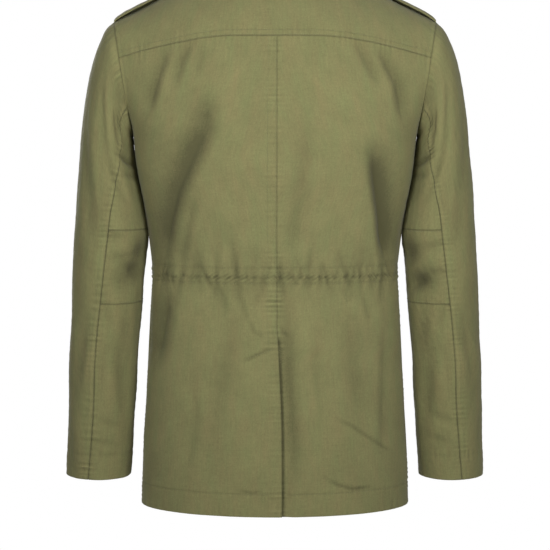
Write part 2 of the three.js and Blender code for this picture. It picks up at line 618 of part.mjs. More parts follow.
// The two halves of the back below the yoke, sewn down the centre as far as the vent
function backPanel(side) {
  const gathers = GATHERS_BACK.filter((gather) => gather.x * side > 0).map((gather) => ({
    ...gather,
    x: gather.x * side,
    lean: gather.lean * side,
  }));
  const levelRow = (height, under, gathered) => {
    const centre = seamX(height);
    const start = acrossAt(-1, under ? centre - VENT.underlap : centre + side * HALF_GAP, height);
    return columnsOf(start, side, gathered ? gathers : null, height).map((across) => {
      const trimmed = Math.abs(across) === 1 ? across - side * shareOf(-1, across, -0.5, HALF_GAP) : across;
      const x = section(-1, trimmed, height).x;
      const near = smooth((centre + VENT.ramp - x) / (VENT.ramp - VENT.flat));
      const open = smooth((VENT_TOP + VENT.fade - height) / (VENT.fade - VENT.flat));
      const out = side > 0 ? -VENT.tuck * near * open : 0;
      return bodySpot(-1, trimmed, upOf(height, trimmed), { out, key: across });
    });
  };
  const rows = [];
  for (const height of LOW_ROWS) {
    rows.push(levelRow(height, side > 0 && height <= VENT_TOP, false));
    if (side > 0 && height === VENT_TOP) rows.push(levelRow(height + 1, false, false));
  }
  for (const height of WAIST_ROWS) rows.push(levelRow(height, false, true));
  for (const height of HIGH_ROWS) rows.push(levelRow(height, false, false));
  for (const part of BACK_ROWS) {
    const centre = shareOf(-1, 0, 0.3, seamX(0) + side * HALF_GAP);
    rows.push(columnsOf(centre, side, null, 0).map((across) => bodySpot(-1, across, backUp(across, part))));
  }
  return wall(side > 0 ? "back_right" : "back_left", rows);
}

// The yoke across both shoulders, from its seam up to the neck and shoulder seams
function yoke() {
  const across = [...SHARES.slice(1).map((share) => -share).reverse(), ...SHARES];
  const rows = YOKE_ROWS.map((part) => across.map((column) => bodySpot(-1, column, yokeUp(column, part))));
  return wall("back_yoke", rows);
}

// A front panel, from the side seam to a little past the centre line; the left front laps over the right
function frontPanel(side) {
  const lap = side < 0 ? FRONT_LAP.over : FRONT_LAP.under;
  const spotsOf = (start, upAt, gathered, height) =>
    columnsOf(start, side, gathered ? GATHERS_FRONT : null, height).map((across) => {
      const trim = Math.abs(across) === 1 && upAt(across) < 0 ? shareOf(1, across, -0.5, HALF_GAP) : 0;
      const trimmed = across - side * trim;
      const up = upAt(trimmed);
      const x = form(1, trimmed, up).x * side;
      const under = smooth((FRONT_LAP.over + FRONT_LAP.ramp - x) / FRONT_LAP.ramp);
      return bodySpot(1, trimmed, up, { out: side > 0 ? -FRONT_LAP.tuck * under : 0, key: across });
    });
  const levelRow = (height, gathered) =>
    spotsOf(acrossAt(1, -side * lap, height), (across) => upOf(height, across), gathered, height);
  const rows = [];
  for (const height of LOW_ROWS) rows.push(levelRow(height, false));
  for (const height of WAIST_ROWS) rows.push(levelRow(height, true));
  for (const height of HIGH_ROWS) rows.push(levelRow(height, false));
  for (const part of FRONT_ROWS) {
    const start = -side * shareOf(1, 0, frontUp(0, part), lap);
    rows.push(spotsOf(start, (across) => frontUp(across, part), false, 0));
  }
  return wall(side > 0 ? "front_right" : "front_left", rows);
}

const SLEEVE_ROWS = [
  ...[0, 9, 22, 40, 64, 96, 136, 178, ELBOW.top, 256, 292],
  ...[ELBOW.foot, 385, 440, 490, 540, SLEEVE_LENGTH],
];
const SEAM_CLEAR = 1.5; // degrees that an armhole spot keeps from a sleeve seam

// The turns round the armhole at which the body's rows meet it
const ARMHOLE_TURNS = [
  ...BACK_ROWS.map((part) => 180 * (1 - backUp(1, part))),
  ...YOKE_ROWS.map((part) => 180 * (1 - yokeUp(1, part))),
  ...FRONT_ROWS.map((part) => 180 * (1 + frontUp(1, part))),
].sort((a, b) => a - b);

// One cut piece of a sleeve: between two lines along it and two places down it, with its number of columns
function sleevePiece(name, side, lines, from, to, columns) {
  const rows = SLEEVE_ROWS.filter((at) => at >= from && at <= to).map((at) => {
    const place = clamp(at, from && from + HALF_GAP, to === SLEEVE_LENGTH ? to : to - HALF_GAP);
    const gap = (HALF_GAP / follow(SLEEVE, "at", "deep", place)) * (180 / Math.PI);
    const [start, end] = lines(place);
    const met = [-360, 0].flatMap((round) => ARMHOLE_TURNS.map((turn) => turn + round));
    const between = (turn) => turn > start + SEAM_CLEAR && turn < end - SEAM_CLEAR;
    const inside = met.filter(between).sort((a, b) => a - b);
    const turns = at ? spread(start + gap, end - gap, columns) : [start + gap, ...inside, end - gap];
    return turns.map((turn) => {
      const key = (turn - start) / (end - start);
      if (at === 0) return armholeSpot(turn, 1, side < 0, key);
      const outer = sleeve(turn, place);
      const inner = outer.clone().addScaledVector(sleeveNormal(turn, place), -CLOTH);
      if (side < 0) [outer, inner].forEach((spot) => (spot.x = -spot.x));
      return { share: key, outer, inner };
    });
  });
  return wall(name, rows);
}

function sleeveOf(side) {
  const hand = side > 0 ? "right" : "left";
  const seam = (at) => follow(SLEEVE, "at", "seam", at);
  const upper = (at) => [FRONT_SEAM - 360, seam(at)];
  const under = (at) => [seam(at), FRONT_SEAM];
  return [
    sleevePiece(`sleeve_upper_${hand}`, side, upper, 0, SLEEVE_LENGTH, 12),
    sleevePiece(`sleeve_under_${hand}`, side, under, 0, ELBOW.top, 9),
    sleevePiece(`elbow_panel_${hand}`, side, under, ELBOW.top, ELBOW.foot, 9),
    sleevePiece(`sleeve_cuff_${hand}`, side, under, ELBOW.foot, SLEEVE_LENGTH, 9),
  ];
}

// How far up a column of the body reaches a height
function upAt(face, across, height) {
  if (height < chestLine(across)) return upOf(height, across);
  return search(0, 1, (up) => form(face, across, up).z < height);
}

// The place on the shoulders of a point seen from above, as a face with shares across and up
const ABOVE = { passes: 12, lowest: 0.2, inner: 0.001, outer: 0.995 };
function placeAbove(x, y) {
  const face = y < MIDDLE ? -1 : 1;
  let across = clamp(Math.abs(x) / SHOULDER.reach, 0, ABOVE.outer);
  let up = 1;
  for (let pass = 0; pass < ABOVE.passes; pass++) {
    up = search(ABOVE.lowest, 1, (level) => (form(face, across, level).y - y) * face > 0);
    const slope = (form(face, across + STEP, up).x - form(face, across - STEP, up).x) / (2 * STEP);
    across = clamp(across + (Math.abs(x) - form(face, across, up).x) / slope, ABOVE.inner, ABOVE.outer);
  }
  return { face, across: across * Math.sign(x || 1), up };
}

// The columns of the neck seam, round from the left of the front opening by the back to the right
function neckRing() {
  const inner = SHARES.filter((share) => share > 0 && share < NECK.share);
  const half = [
    ...[COLLAR.start, ...inner].map((share) => ({ face: 1, share })),
    ...[NECK.share, ...inner.slice().reverse(), 0].map((share) => ({ face: -1, share })),
  ];
  const spots = half.map(({ face, share }) => {
    const edge = form(face, share, topUp(face, share));
    const deep = face < 0 ? NECK.back : NECK.front;
    const away = point(edge.x / NECK.half ** 2, (edge.y - MIDDLE) / deep ** 2, 0).normalize();
    const turn = (Math.atan2(edge.x / NECK.half, (MIDDLE - edge.y) / deep) * 180) / Math.PI;
    return { edge, away, turn };
  });
  const mirrored = spots.slice(0, -1).map(({ edge, away, turn }) => ({
    edge: point(-edge.x, edge.y, edge.z),
    away: point(-away.x, away.y, 0),
    turn: -turn,
  }));
  return [...mirrored, ...spots.reverse()];
}

const standUp = (away) => point(-COLLAR.lean * away.x, COLLAR.forward - COLLAR.lean * away.y, 1).normalize();

// The band round the neck that the collar is sewn to
function collarStand() {
  const ring = neckRing();
  const rows = [2 * HALF_GAP, COLLAR.stand / 2, COLLAR.stand].map((high) =>
    ring.map(({ edge, away }, i) => {
      const outer = edge.clone().addScaledVector(standUp(away), high + HALF_GAP);
      return { share: i, outer, inner: outer.clone().addScaledVector(away, -COLLAR.standWall) };
    }),
  );
  return wall("collar_stand", rows);
}

// The collar itself, sewn to the stand's top and rolled over it on to the shoulders
function collarFall() {
  const rows = [...ROLL, ...FALL_ROWS].map(() => []);
  neckRing().forEach(({ edge, away, turn }, i) => {
    const rise = standUp(away);
    const path = ROLL.map(({ out, high }) =>
      edge
        .clone()
        .addScaledVector(away, COLLAR.roll * out)
        .addScaledVector(rise, COLLAR.stand + COLLAR.roll * high),
    );
    const reach = follow(FALL_EDGE, "turn", "reach", Math.abs(turn));
    const plan = edge.clone().addScaledVector(away, reach);
    plan.x += Math.sign(turn) * follow(FALL_EDGE, "turn", "spread", Math.abs(turn));
    const place = placeAbove(plan.x, plan.y);
    const foot = body(place.face, place.across, place.up, COLLAR.clear + COLLAR.fallWall);
    const crest = path[path.length - 1];
    const drop = foot.distanceTo(crest);
    const leave = rise.clone().multiplyScalar(-drop).addScaledVector(away, drop * FALL_BULGE.leave);
    const arrive = foot.clone().sub(crest).addScaledVector(away, drop * FALL_BULGE.arrive);
    for (const t of FALL_ROWS) path.push(arch(crest, leave, foot, arrive, t));
    const round = point(away.y, -away.x, 0);
    path.forEach((outer, j) => {
      const along = path[Math.min(j + 1, path.length - 1)].clone().sub(path[Math.max(j - 1, 0)]);
      const inward = round.clone().cross(along).normalize();
      rows[j].push({ share: i, outer, inner: outer.clone().addScaledVector(inward, COLLAR.fallWall) });
    });
  });
  return wall("collar_fall", rows);
}

// A strap along one shoulder, sewn in at the armhole and buttoned near the collar
function strap(side) {
  const rows = STRAP.map(({ x, half, lift }) =>
    STRAP_COLUMNS.map((aside, i) => {
      const { face, across, up } = placeAbove(x, MIDDLE + aside * half);
      const outer = body(face, across, up, lift);
      const inner = outer.clone().addScaledVector(bodyNormal(face, across, up), -STRAP_WALL);
      if (side < 0) [outer, inner].forEach((spot) => (spot.x = -spot.x));
      return { share: i, outer, inner };
    }),
  );
  return wall(side > 0 ? "epaulette_right" : "epaulette_left", rows);
}

// A spot of a piece laid on a front, out from the flat between the front's own rows above and below it
function laidSpot(across, up, out) {
  const ups = frontRows(across);
  const above = clamp(ups.findIndex((row) => row >= up), 1, ups.length - 1);
  const [low, high] = [ups[above - 1], ups[above]];
  const t = (up - low) / (high - low);
  const outward = bodyNormal(1, across, low).lerp(bodyNormal(1, across, high), t).normalize();
  const flat = body(1, across, low).lerp(body(1, across, high), t);
  const outer = flat.addScaledVector(outward, out + PATCH);
  return { share: across, outer, inner: outer.clone().addScaledVector(outward, -PATCH) };
}

// How far up a column each row of the front lies
const frontRows = (across) => [
  ...[...LOW_ROWS, ...WAIST_ROWS, ...HIGH_ROWS].map((height) => upOf(height, across)),
  ...FRONT_ROWS.map((part) => frontUp(across, part)),
];

// A piece laid on a front between two columns and two heights, with what it lies over at each of its rows
function laidPiece(name, side, inner, outer, rows) {
  const between = SHARES.filter((share) => share > inner + FLAP.apart && share < outer - FLAP.apart);
  const columns = [inner, ...between, outer];
  if (side < 0) columns.reverse();
  const made = rows.map(({ row, height, lift, drop = 0 }) =>
    columns.map((share) => {
      const middle = 1 - Math.abs((2 * (share - inner)) / (outer - inner) - 1);
      const up = row === undefined ? upAt(1, share, height - drop * middle) : frontRows(share)[row];
      return laidSpot(share * side, up, lift);
    }),
  );
  return wall(name, made);
}

// A pocket and the flap over it: the flap lies on the pocket up to its last row, which lies on the front
function pocketWithFlap(kind, hand, { inner, outer, foot, top, flapFoot, flapTop }) {
  const side = hand === "right" ? 1 : -1;
  const middle = (inner + outer) / 2;
  const crossed = (low, high, lift) =>
    frontRows(middle).flatMap((up, row) => {
      const { z } = form(1, middle, up);
      return z > low + LAID_CLEAR.foot && z < high - LAID_CLEAR.top ? [{ row, lift }] : [];
    });
  const over = LAID + PATCH + LAID;
  return [
    laidPiece(`${kind}_pocket_${hand}`, side, inner, outer, [
      { height: foot, lift: LAID },
      ...crossed(foot, top, LAID),
      { height: top, lift: LAID },
    ]),
    laidPiece(`${kind}_flap_${hand}`, side, inner - FLAP.lip, outer + FLAP.lip, [
      { height: flapFoot, lift: over, drop: FLAP.point },
      ...crossed(flapFoot, top, over),
      { height: top + FLAP.step, lift: over },
      { height: flapTop, lift: LAID },
    ]),
  ];
}

function pocketsOf(side) {
  const hand = side > 0 ? "right" : "left";
  return [...pocketWithFlap("chest", hand, CHEST_POCKET), ...pocketWithFlap("hip", hand, HIP_POCKET)];
}

// A button with a raised rim, its back on a point of the cloth and facing along the cloth's outward direction
function button(name, place, outward, size) {
  const { thick, dish, rim, sides } = BUTTON;
  const radius = BUTTON.radius * size;
  const profile = [
    [0, 0],
    [radius - dish, 0],
    [radius, dish],
    [radius, thick - dish],
    [radius - rim, thick],
    [0, thick - dish],
  ].map(([r, h]) => new THREE.Vector2(r, h));
  const geometry = new THREE.LatheGeometry(profile, sides);
  const shade = new THREE.MeshStandardMaterial({ color: BUTTON_SHADE, roughness: 0.45 });
  const mesh = new THREE.Mesh(geometry, shade);
  mesh.name = name;
  mesh.position.copy(place);
  mesh.quaternion.setFromUnitVectors(point(0, 1, 0), outward);
  return mesh;
}

function buttonOn(name, face, across, up, lift, size) {
  return button(name, body(face, across, up, lift), bodyNormal(face, across, up), size);
}

function buttons() {
  const made = [];
  BUTTON_HEIGHTS.forEach((height, i) => {
    made.push(buttonOn(`front_button_${i + 1}`, 1, 0, upAt(1, 0, height), BUTTON_LIFT, 1));
  });
  const over = 2 * (LAID + PATCH) + BUTTON_LIFT;
  for (const side of [-1, 1]) {
    const hand = side > 0 ? "right" : "left";
    const pockets = Object.entries({ chest: CHEST_POCKET, hip: HIP_POCKET });
    for (const [kind, { inner, outer, flapFoot }] of pockets) {
      const middle = (inner + outer) / 2;
      const up = upAt(1, middle, flapFoot + FLAP.buttonUp);
      made.push(buttonOn(`${kind}_button_${hand}`, 1, middle * side, up, over, SMALL_BUTTON));
    }
    const { face, across, up } = placeAbove(side * STRAP_BUTTON, MIDDLE);
    const lift = follow(STRAP_FROM_NECK, "x", "lift", STRAP_BUTTON) + BUTTON_LIFT;
    made.push(buttonOn(`epaulette_button_${hand}`, face, across, up, lift, SMALL_BUTTON));
  }
  return made;
}

const jacket = new THREE.Group();
jacket.name = "safari_jacket";
jacket.add(backPanel(-1), backPanel(1), yoke(), frontPanel(-1), frontPanel(1));
for (const side of [-1, 1]) jacket.add(...sleeveOf(side), ...pocketsOf(side), strap(side));
jacket.add(collarStand(), collarFall(), ...buttons());

export default jacket;
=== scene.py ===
import bpy
import numpy as np
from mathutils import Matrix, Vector


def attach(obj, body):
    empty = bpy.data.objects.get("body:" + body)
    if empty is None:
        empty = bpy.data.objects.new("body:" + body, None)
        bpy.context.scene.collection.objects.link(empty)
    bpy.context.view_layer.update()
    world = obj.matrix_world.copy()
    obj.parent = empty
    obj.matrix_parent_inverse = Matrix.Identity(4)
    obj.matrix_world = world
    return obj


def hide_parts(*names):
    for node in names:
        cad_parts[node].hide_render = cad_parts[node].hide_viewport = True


# A safari jacket in olive cotton twill, standing out as it does when worn and seen from behind. Its cut
# pieces of cloth are made here as thin shells on the frame's panels, in the order in which they are sewn.
# Sizes are in millimetres until a mesh is made: +X to the wearer's right, +Y to the front, +Z up.
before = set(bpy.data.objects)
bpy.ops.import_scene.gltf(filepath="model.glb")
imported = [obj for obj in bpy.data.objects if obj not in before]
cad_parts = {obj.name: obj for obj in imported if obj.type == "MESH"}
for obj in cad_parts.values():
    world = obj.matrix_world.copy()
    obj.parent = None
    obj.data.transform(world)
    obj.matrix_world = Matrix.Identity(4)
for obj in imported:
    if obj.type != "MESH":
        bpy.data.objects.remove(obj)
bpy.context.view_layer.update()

# Back panels
# Two lengths of cotton twill, sewn down the centre back as far as the vent, where the left laps over the
# right. A casing between two rows of stitching draws them in at the waist, and the cloth folds from there.
MM = 0.001
CLOTH = 1.6
HALF_GAP = 0.02
HEM = -775
UNDERARM = -232
WAIST = -437
VENT_TOP = -532
YOKE_SEAM = -96
YOKE_DROP = 30
YOKE_LEVEL = 60
YOKE_SLOPE = 160
MIDDLE = -3
HAND = {-1: "left", 1: "right"}
STEP = 0.004
HALVINGS = 30
NEAR_EDGE = 0.985
LEVEL_TOP = -280


def table(columns, *rows):
    """Rows of numbers as one array for each named column."""
    return {name: np.array(values, float) for name, values in zip(columns.split(), zip(*rows))}


BODY = table(
    "height half back front square",
    (-775, 196.4, 124.3, 136.3, 2.0),
    (-690, 193.5, 121, 133, 2.05),
    (-610, 188.5, 115, 128, 2.1),
    (-530, 184.5, 107, 122, 2.15),
    (-470, 181, 101, 117, 2.2),
    (-437, 179, 99, 115, 2.2),
    (-394, 183, 101, 116, 2.25),
    (-340, 191, 107, 120, 2.35),
    (-290, 199.5, 114, 124, 2.5),
    (-232, 206, 120, 127, 2.75),
)
NECK_HALF = 74
NECK_DEEP = {-1: 66, 1: 62}
NECK_SHARE = 0.34
SHOULDER_REACH = 233
RIDGE = table(
    "x back front",
    (0, 26, -6),
    (40, 17, -4),
    (74, 0, 0),
    (110, -14, -14),
    (150, -32, -32),
    (190, -52, -52),
    (233, -72, -72),
)
CHEST_DROP = 34
CHEST_TURN = 5.5
RISE = {-1: 420, 1: 265}
ARMHOLE_DEPTH = {-1: 272, 1: 250}
ARMHOLE_IN = {-1: -8, 1: -12}
TOPS = {
    -1: table(
        "share out over up",
        (0, 0, 300, 60),
        (0.18, 0, 300, 50),
        (0.34, 0, 295, 25),
        (0.55, 0, 270, 5),
        (0.8, 4, 250, 0),
        (1, 8, 272, 0),
    ),
    1: table(
        "share out over up",
        (0, 0, 185, 60),
        (0.18, 0, 185, 60),
        (0.34, 0, 195, 40),
        (0.55, 4, 205, 8),
        (0.8, 10, 230, 0),
        (1, 20, 250, 0),
    ),
}
CENTRE_SEAM = table("height x", (-775, 10), (-640, 9), (-540, 5), (-500, 3), (0, 3))


def smooth(t):
    t = np.clip(t, 0, 1)
    return t * t * (3 - 2 * t)


def bell(distance, width):
    return np.exp(-((distance / width) ** 2))


def sunk(distance):
    """How near a place is to a seam's own line, where the cloth is drawn in and lies in shade."""
    return bell(distance, SEAM_SUNK)


def unit(vectors):
    return vectors / np.linalg.norm(vectors, axis=-1, keepdims=True)


def follow(rows, key, column, at):
    """A table's column between its rows, on a smooth curve through them."""
    keys, values = rows[key], rows[column]
    slopes = np.empty_like(values)
    slopes[1:-1] = (values[2:] - values[:-2]) / (keys[2:] - keys[:-2])
    for end, inward in ((0, 1), (-1, -2)):
        slopes[end] = (values[inward] - values[end]) / (keys[inward] - keys[end])
    i = np.clip(np.searchsorted(keys, at) - 1, 0, len(keys) - 2)
    span = keys[i + 1] - keys[i]
    t = np.clip((at - keys[i]) / span, 0, 1)
    bend = 2 * t**3 - 3 * t**2
    eased = slopes[i] * span * (t - 2 * t * t + t**3) + slopes[i + 1] * span * (t**3 - t * t)
    return values[i] * (1 + bend) - values[i + 1] * bend + eased


def arch(start, leave, end, arrive, t):
    """A curve that leaves one point and arrives at another with given directions."""
    t = np.asarray(t)[..., None]
    bend = 2 * t**3 - 3 * t**2
    eased = leave * (t - 2 * t * t + t**3) + arrive * (t**3 - t * t)
    return start * (1 + bend) - end * bend + eased


def search(low, high, holds):
    """Where a rule that holds at the low end stops holding, for a whole array of places."""
    low, high = np.array(low, float), np.array(high, float)
    for _ in range(HALVINGS):
        middle = (low + high) / 2
        held = holds(middle)
        low, high = np.where(held, middle, low), np.where(held, high, middle)
    return low


def section(face, across, height):
    """The body's level section: face is -1 behind and 1 before, across runs from -1 to 1."""
    half = follow(BODY, "height", "half", height)
    depth = follow(BODY, "height", "back" if face < 0 else "front", height)
    square = follow(BODY, "height", "square", height)
    s, c = np.sin(across * np.pi / 2), np.cos(across * np.pi / 2)
    reach = (np.abs(s) ** square + np.abs(c) ** square) ** (-1 / square)
    return np.stack([half * s * reach, MIDDLE + face * depth * c * reach, height + 0 * s], axis=-1)


def chest_line(share):
    """The line from which the shoulders rise: level, and up to the underarm at its ends."""
    return UNDERARM - CHEST_DROP * (1 - np.exp(-CHEST_TURN * (1 - np.abs(share))))


def form(face, across, up):
    """The bare body. up runs from -1 at the hem through 0 at the chest line to 1 at the shoulder."""
    across, up = np.broadcast_arrays(np.asarray(across, float), np.asarray(up, float))
    share = np.abs(across)
    chest = chest_line(share)
    low = section(face, across, chest + (HEM - chest) * np.maximum(-up, 0))
    start = section(face, share, chest)
    below = section(face, share, chest - 1)
    tangent = unit(section(face, share + 2 * STEP, chest) - section(face, share - 2 * STEP, chest))
    s, c = np.sin(share * np.pi / 2), np.cos(share * np.pi / 2)
    rise = RISE[face] * np.maximum(c, 0) ** 0.7
    leave = (start - below) * rise[..., None] - tangent * (ARMHOLE_DEPTH[face] * s**1.5)[..., None]
    leave[..., 0] += ARMHOLE_IN[face] * s**8
    top = TOPS[face]
    out, over, lift = (follow(top, "share", column, share) for column in ("out", "over", "up"))
    arrive = np.stack([out, -face * over, lift], axis=-1)
    over_neck = NECK_HALF * share / NECK_SHARE
    past_neck = NECK_HALF + (SHOULDER_REACH - NECK_HALF) * (share - NECK_SHARE) / (1 - NECK_SHARE)
    ridge_x = np.where(share < NECK_SHARE, over_neck, past_neck)
    ridge_z = follow(RIDGE, "x", "back" if face < 0 else "front", ridge_x)
    ridge = np.stack([ridge_x, MIDDLE + 0 * ridge_x, ridge_z], axis=-1)
    made = arch(start, leave, ridge, arrive, np.maximum(up, 0))
    made[..., 0] *= np.where(across < 0, -1, 1)
    return np.where((up <= 0)[..., None], low, made)


def body_normal(face, across, up):
    low, high = np.maximum(up - STEP, -1), np.minimum(up + STEP, 1)
    along = form(face, across + STEP, up) - form(face, across - STEP, up)
    rising = form(face, across, high) - form(face, across, low)
    return unit(np.cross(along, rising)) * -face


# Folds of the back: how deep each trough is, how far it reaches to its left and its right, and its path
FOLDS_BACK = [
    (11, 26, 15, [(-94, -160), (-97, -228), (-120, -272), (-141, -317), (-154, -365), (-160, -415)]),
    (3.5, 11, 8, [(-112, -312), (-128, -385), (-137, -425)]),
    (6, 13, 8, [(-148, -104), (-164, -148), (-180, -205)]),
    (4, 10, 7, [(-114, -97), (-131, -130), (-141, -165)]),
    (1.8, 8, 6, [(-100, -102), (-108, -150)]),
    (6.5, 8, 13, [(141, -104), (172, -163), (182, -215)]),
    (4, 7, 10, [(108, -97), (137, -148), (146, -165)]),
    (14, 11, 22, [(134, -240), (144, -290), (154, -350), (161, -415)]),
    (3.4, 13, 12, [(50, -214), (36, -320), (24, -408)]),
    (7, 18, 14, [(-152, -452), (-160, -500), (-172, -560)]),
    (5.5, 13, 12, [(12, -440), (16, -470), (19, -525), (21, -590), (27, -660), (30, -735)]),
    (2.5, 15, 18, [(-60, -470), (-96, -690)]),
    (3, 16, 18, [(100, -470), (122, -640)]),
    (1.8, 7, 5, [(-22, -456), (-31, -480)]),
    (2.2, 7, 5, [(-52, -458), (-44, -482), (-40, -500)]),
    (2.2, 7, 4, [(-83, -444), (-73, -466), (-70, -488)]),
    (2.2, 5, 7, [(97, -452), (107, -476)]),
    (2.4, 5, 8, [(125, -454), (132, -484), (137, -505)]),
    (1.7, 6, 9, [(60, -500), (56, -560), (66, -640)]),
    (1.8, 9, 8, [(-120, -560), (-112, -640), (-126, -720)]),
    (2.6, 7, 11, [(160, -480), (156, -560), (154, -690)]),
]
# Sharp creases pressed into the back: depth, half width and path
CREASES_BACK = [
    (1.1, 2.6, [(82, -634), (110, -648), (131, -664), (168, -690)]),
    (1.3, 2.6, [(66, -716), (90, -731), (110, -738), (138, -738)]),
    (1.0, 3.0, [(-4, -536), (-24, -545), (-44, -554)]),
    (0.8, 2.4, [(-54, -735), (-34, -741), (-20, -738)]),
    (0.8, 3.0, [(-36, -495), (-30, -512), (-16, -520)]),
    (0.7, 3.0, [(6, -505), (12, -512), (20, -520)]),
]
# Gathers of the casing: place, reach above and below the waist, lean, depth and half width
GATHERS_BACK = [
    (-158, 26, 20, 0.10, 2.4, 5),
    (-148, 14, 12, -0.10, 2.0, 2.6),
    (-135, 18, 24, 0.25, 2.8, 3.6),
    (-120, 42, 18, 0.10, 1.6, 5),
    (-108, 30, 20, 0.00, 1.8, 3.6),
    (-98, 16, 22, -0.50, 2.4, 2.8),
    (-84, 44, 28, 0.05, 2.6, 3.2),
    (-70, 24, 26, 0.10, 1.4, 4.5),
    (-55, 46, 30, -0.12, 3.6, 3.8),
    (-40, 22, 22, 0.10, 1.4, 4),
    (-29, 34, 26, 0.05, 1.6, 4.5),
    (-16, 16, 24, 0.10, 2.6, 3),
    (8, 20, 26, -0.10, 3.6, 3),
    (22, 22, 16, 0.20, 1.4, 4),
    (33, 14, 14, 0.60, 2.0, 2.6),
    (46, 46, 18, 0.14, 2.8, 3.2),
    (53, 12, 18, 0.20, 1.8, 2.6),
    (65, 22, 16, 0.10, 2.4, 3),
    (74, 14, 20, -0.30, 2.2, 3),
    (88, 30, 22, 0.10, 1.2, 5),
    (104, 26, 24, -0.35, 2.8, 3.2),
    (113, 30, 22, 0.15, 1.6, 5),
    (124, 24, 26, 0.05, 2.4, 3),
    (138, 20, 22, -0.10, 1.6, 4),
    (156, 22, 32, 0.05, 3.4, 3.6),
]
CASING_ROWS = (-423, -445)
CASING_HALF = 9
CASING_PUFF = 1.3
WAIST_PUFF = 0.5
WAIST_REACH = 30
FACING_ROW = 30
FACING_PLAIN = 26
LADDER_LOW = 55
HEM_CALM = 34
FOLDS_TOP = 130
FOLDS_FADE = 60
HEM_STITCH = 32
HEM_THICK = 1.2
STITCH_GROOVE = 0.5
GROOVE_HALF = 1.5
SHADED = -2.6
SEAM_PITCH = 9
SEAM_SUNK = 1.0
TROUGH_IN = 0.45
TROUGH_OUT = 0.35
GATHER_SPREAD = 0.9
WAVES = 5
RIPPLES = 9
GATHER_PITCH = 4.4
GATHER_ENDS = 177


def trough(x, z, depth, left, right, path):
    """A fold pressed in along a path down the cloth, fading out at both ends."""
    points = np.array(path, float)
    nearest = np.full(np.shape(x), np.inf)
    aside = np.zeros(np.shape(x))
    along = np.zeros(np.shape(x))
    run = 0
    for (x0, z0), (x1, z1) in zip(points[:-1], points[1:]):
        dx, dz = x1 - x0, z1 - z0
        leg = np.hypot(dx, dz)
        t = np.clip(((x - x0) * dx + (z - z0) * dz) / leg**2, 0, 1)
        away = np.hypot(x - x0 - t * dx, z - z0 - t * dz)
        side = np.where((x - x0) * dz - (z - z0) * dx < 0, 1, -1)
        closer = away < nearest
        nearest = np.where(closer, away, nearest)
        aside = np.where(closer, side, aside)
        along = np.where(closer, run + t * leg, along)
        run += leg
    along = along / run
    fade = smooth(along / TROUGH_IN + 0.15) * smooth((1 - along) / TROUGH_OUT + 0.35)
    crisp = np.maximum(1 - nearest / (1.5 * min(left, right)), 0) ** 1.35
    sharp_side = (aside > 0) == (right <= left)
    return depth * fade * np.where(sharp_side, crisp, bell(nearest, max(left, right)))


def gather(x, z, place, above, below, lean, depth, width):
    """One crease of the drawn-in cloth, sharpest at the waist and spreading away from it."""
    rise = z - WAIST
    reach = np.where(rise > 0, above, below)
    aside = x - place - lean * rise
    return depth * bell(rise, reach) * bell(aside, width * (1 + GATHER_SPREAD * np.abs(rise) / reach))


def wander(at, seed, pitch):
    """An uneven wave from -1 to 1 along a line, with a given usual pitch."""
    dice = np.random.default_rng(seed)
    turns = dice.uniform(0.7, 1.5, WAVES) * 2 * np.pi / pitch
    starts = dice.uniform(0, 2 * np.pi, WAVES)
    return sum(np.sin(at * turn + start) for turn, start in zip(turns, starts)) / 3


def unrest(a, b, seed, size):
    """Small uneven waves over the cloth, as it lies after wear and washing."""
    dice = np.random.default_rng(seed)
    total = 0
    for _ in range(RIPPLES):
        angle, start = dice.uniform(0, np.pi), dice.uniform(0, 2 * np.pi)
        turn = dice.uniform(0.6, 1.7) * 2 * np.pi / size
        total = total + np.sin((a * np.cos(angle) + b * np.sin(angle)) * turn + start)
    return total / 4


def small_gathers(x, z, seed):
    """The many short creases that the two rows of stitching take up."""
    dice = np.random.default_rng(seed)
    total = 0
    for place in np.arange(1 - GATHER_ENDS, GATHER_ENDS, GATHER_PITCH):
        row = WAIST + dice.uniform(-4, 6)
        above, below = dice.uniform(5, 19, 2)
        depth, width = dice.uniform(0.4, 1.7), dice.uniform(1.5, 3)
        lean = dice.uniform(-0.35, 0.35)
        spot = place + dice.uniform(-2, 2)
        reach = np.where(z > row, above, below)
        total = total + depth * bell(z - row, reach) * bell(x - spot - lean * (z - row), width)
    return total


def seam_pucker(along, away, seed, width=7, height=0.7):
    """Cloth drawn up in short waves beside a stitched seam; away is the distance from it."""
    strength = 0.65 + 0.35 * wander(along, seed + 1, 60)
    return height * strength * wander(along, seed, SEAM_PITCH) * bell(away - width / 2, width)


def yoke_line(x):
    """The yoke's lower seam: level behind the neck, and dropping towards the armholes."""
    return YOKE_SEAM - YOKE_DROP * np.maximum((np.abs(x) - YOKE_LEVEL) / YOKE_SLOPE, 0) ** 1.6


def side_distance(face, across, up, bare):
    """How far a place lies from the side seam or the armhole seam on its own side."""
    edge = form(face, np.where(across < 0, -1.0, 1.0), up)
    return np.linalg.norm(edge - bare, axis=-1)


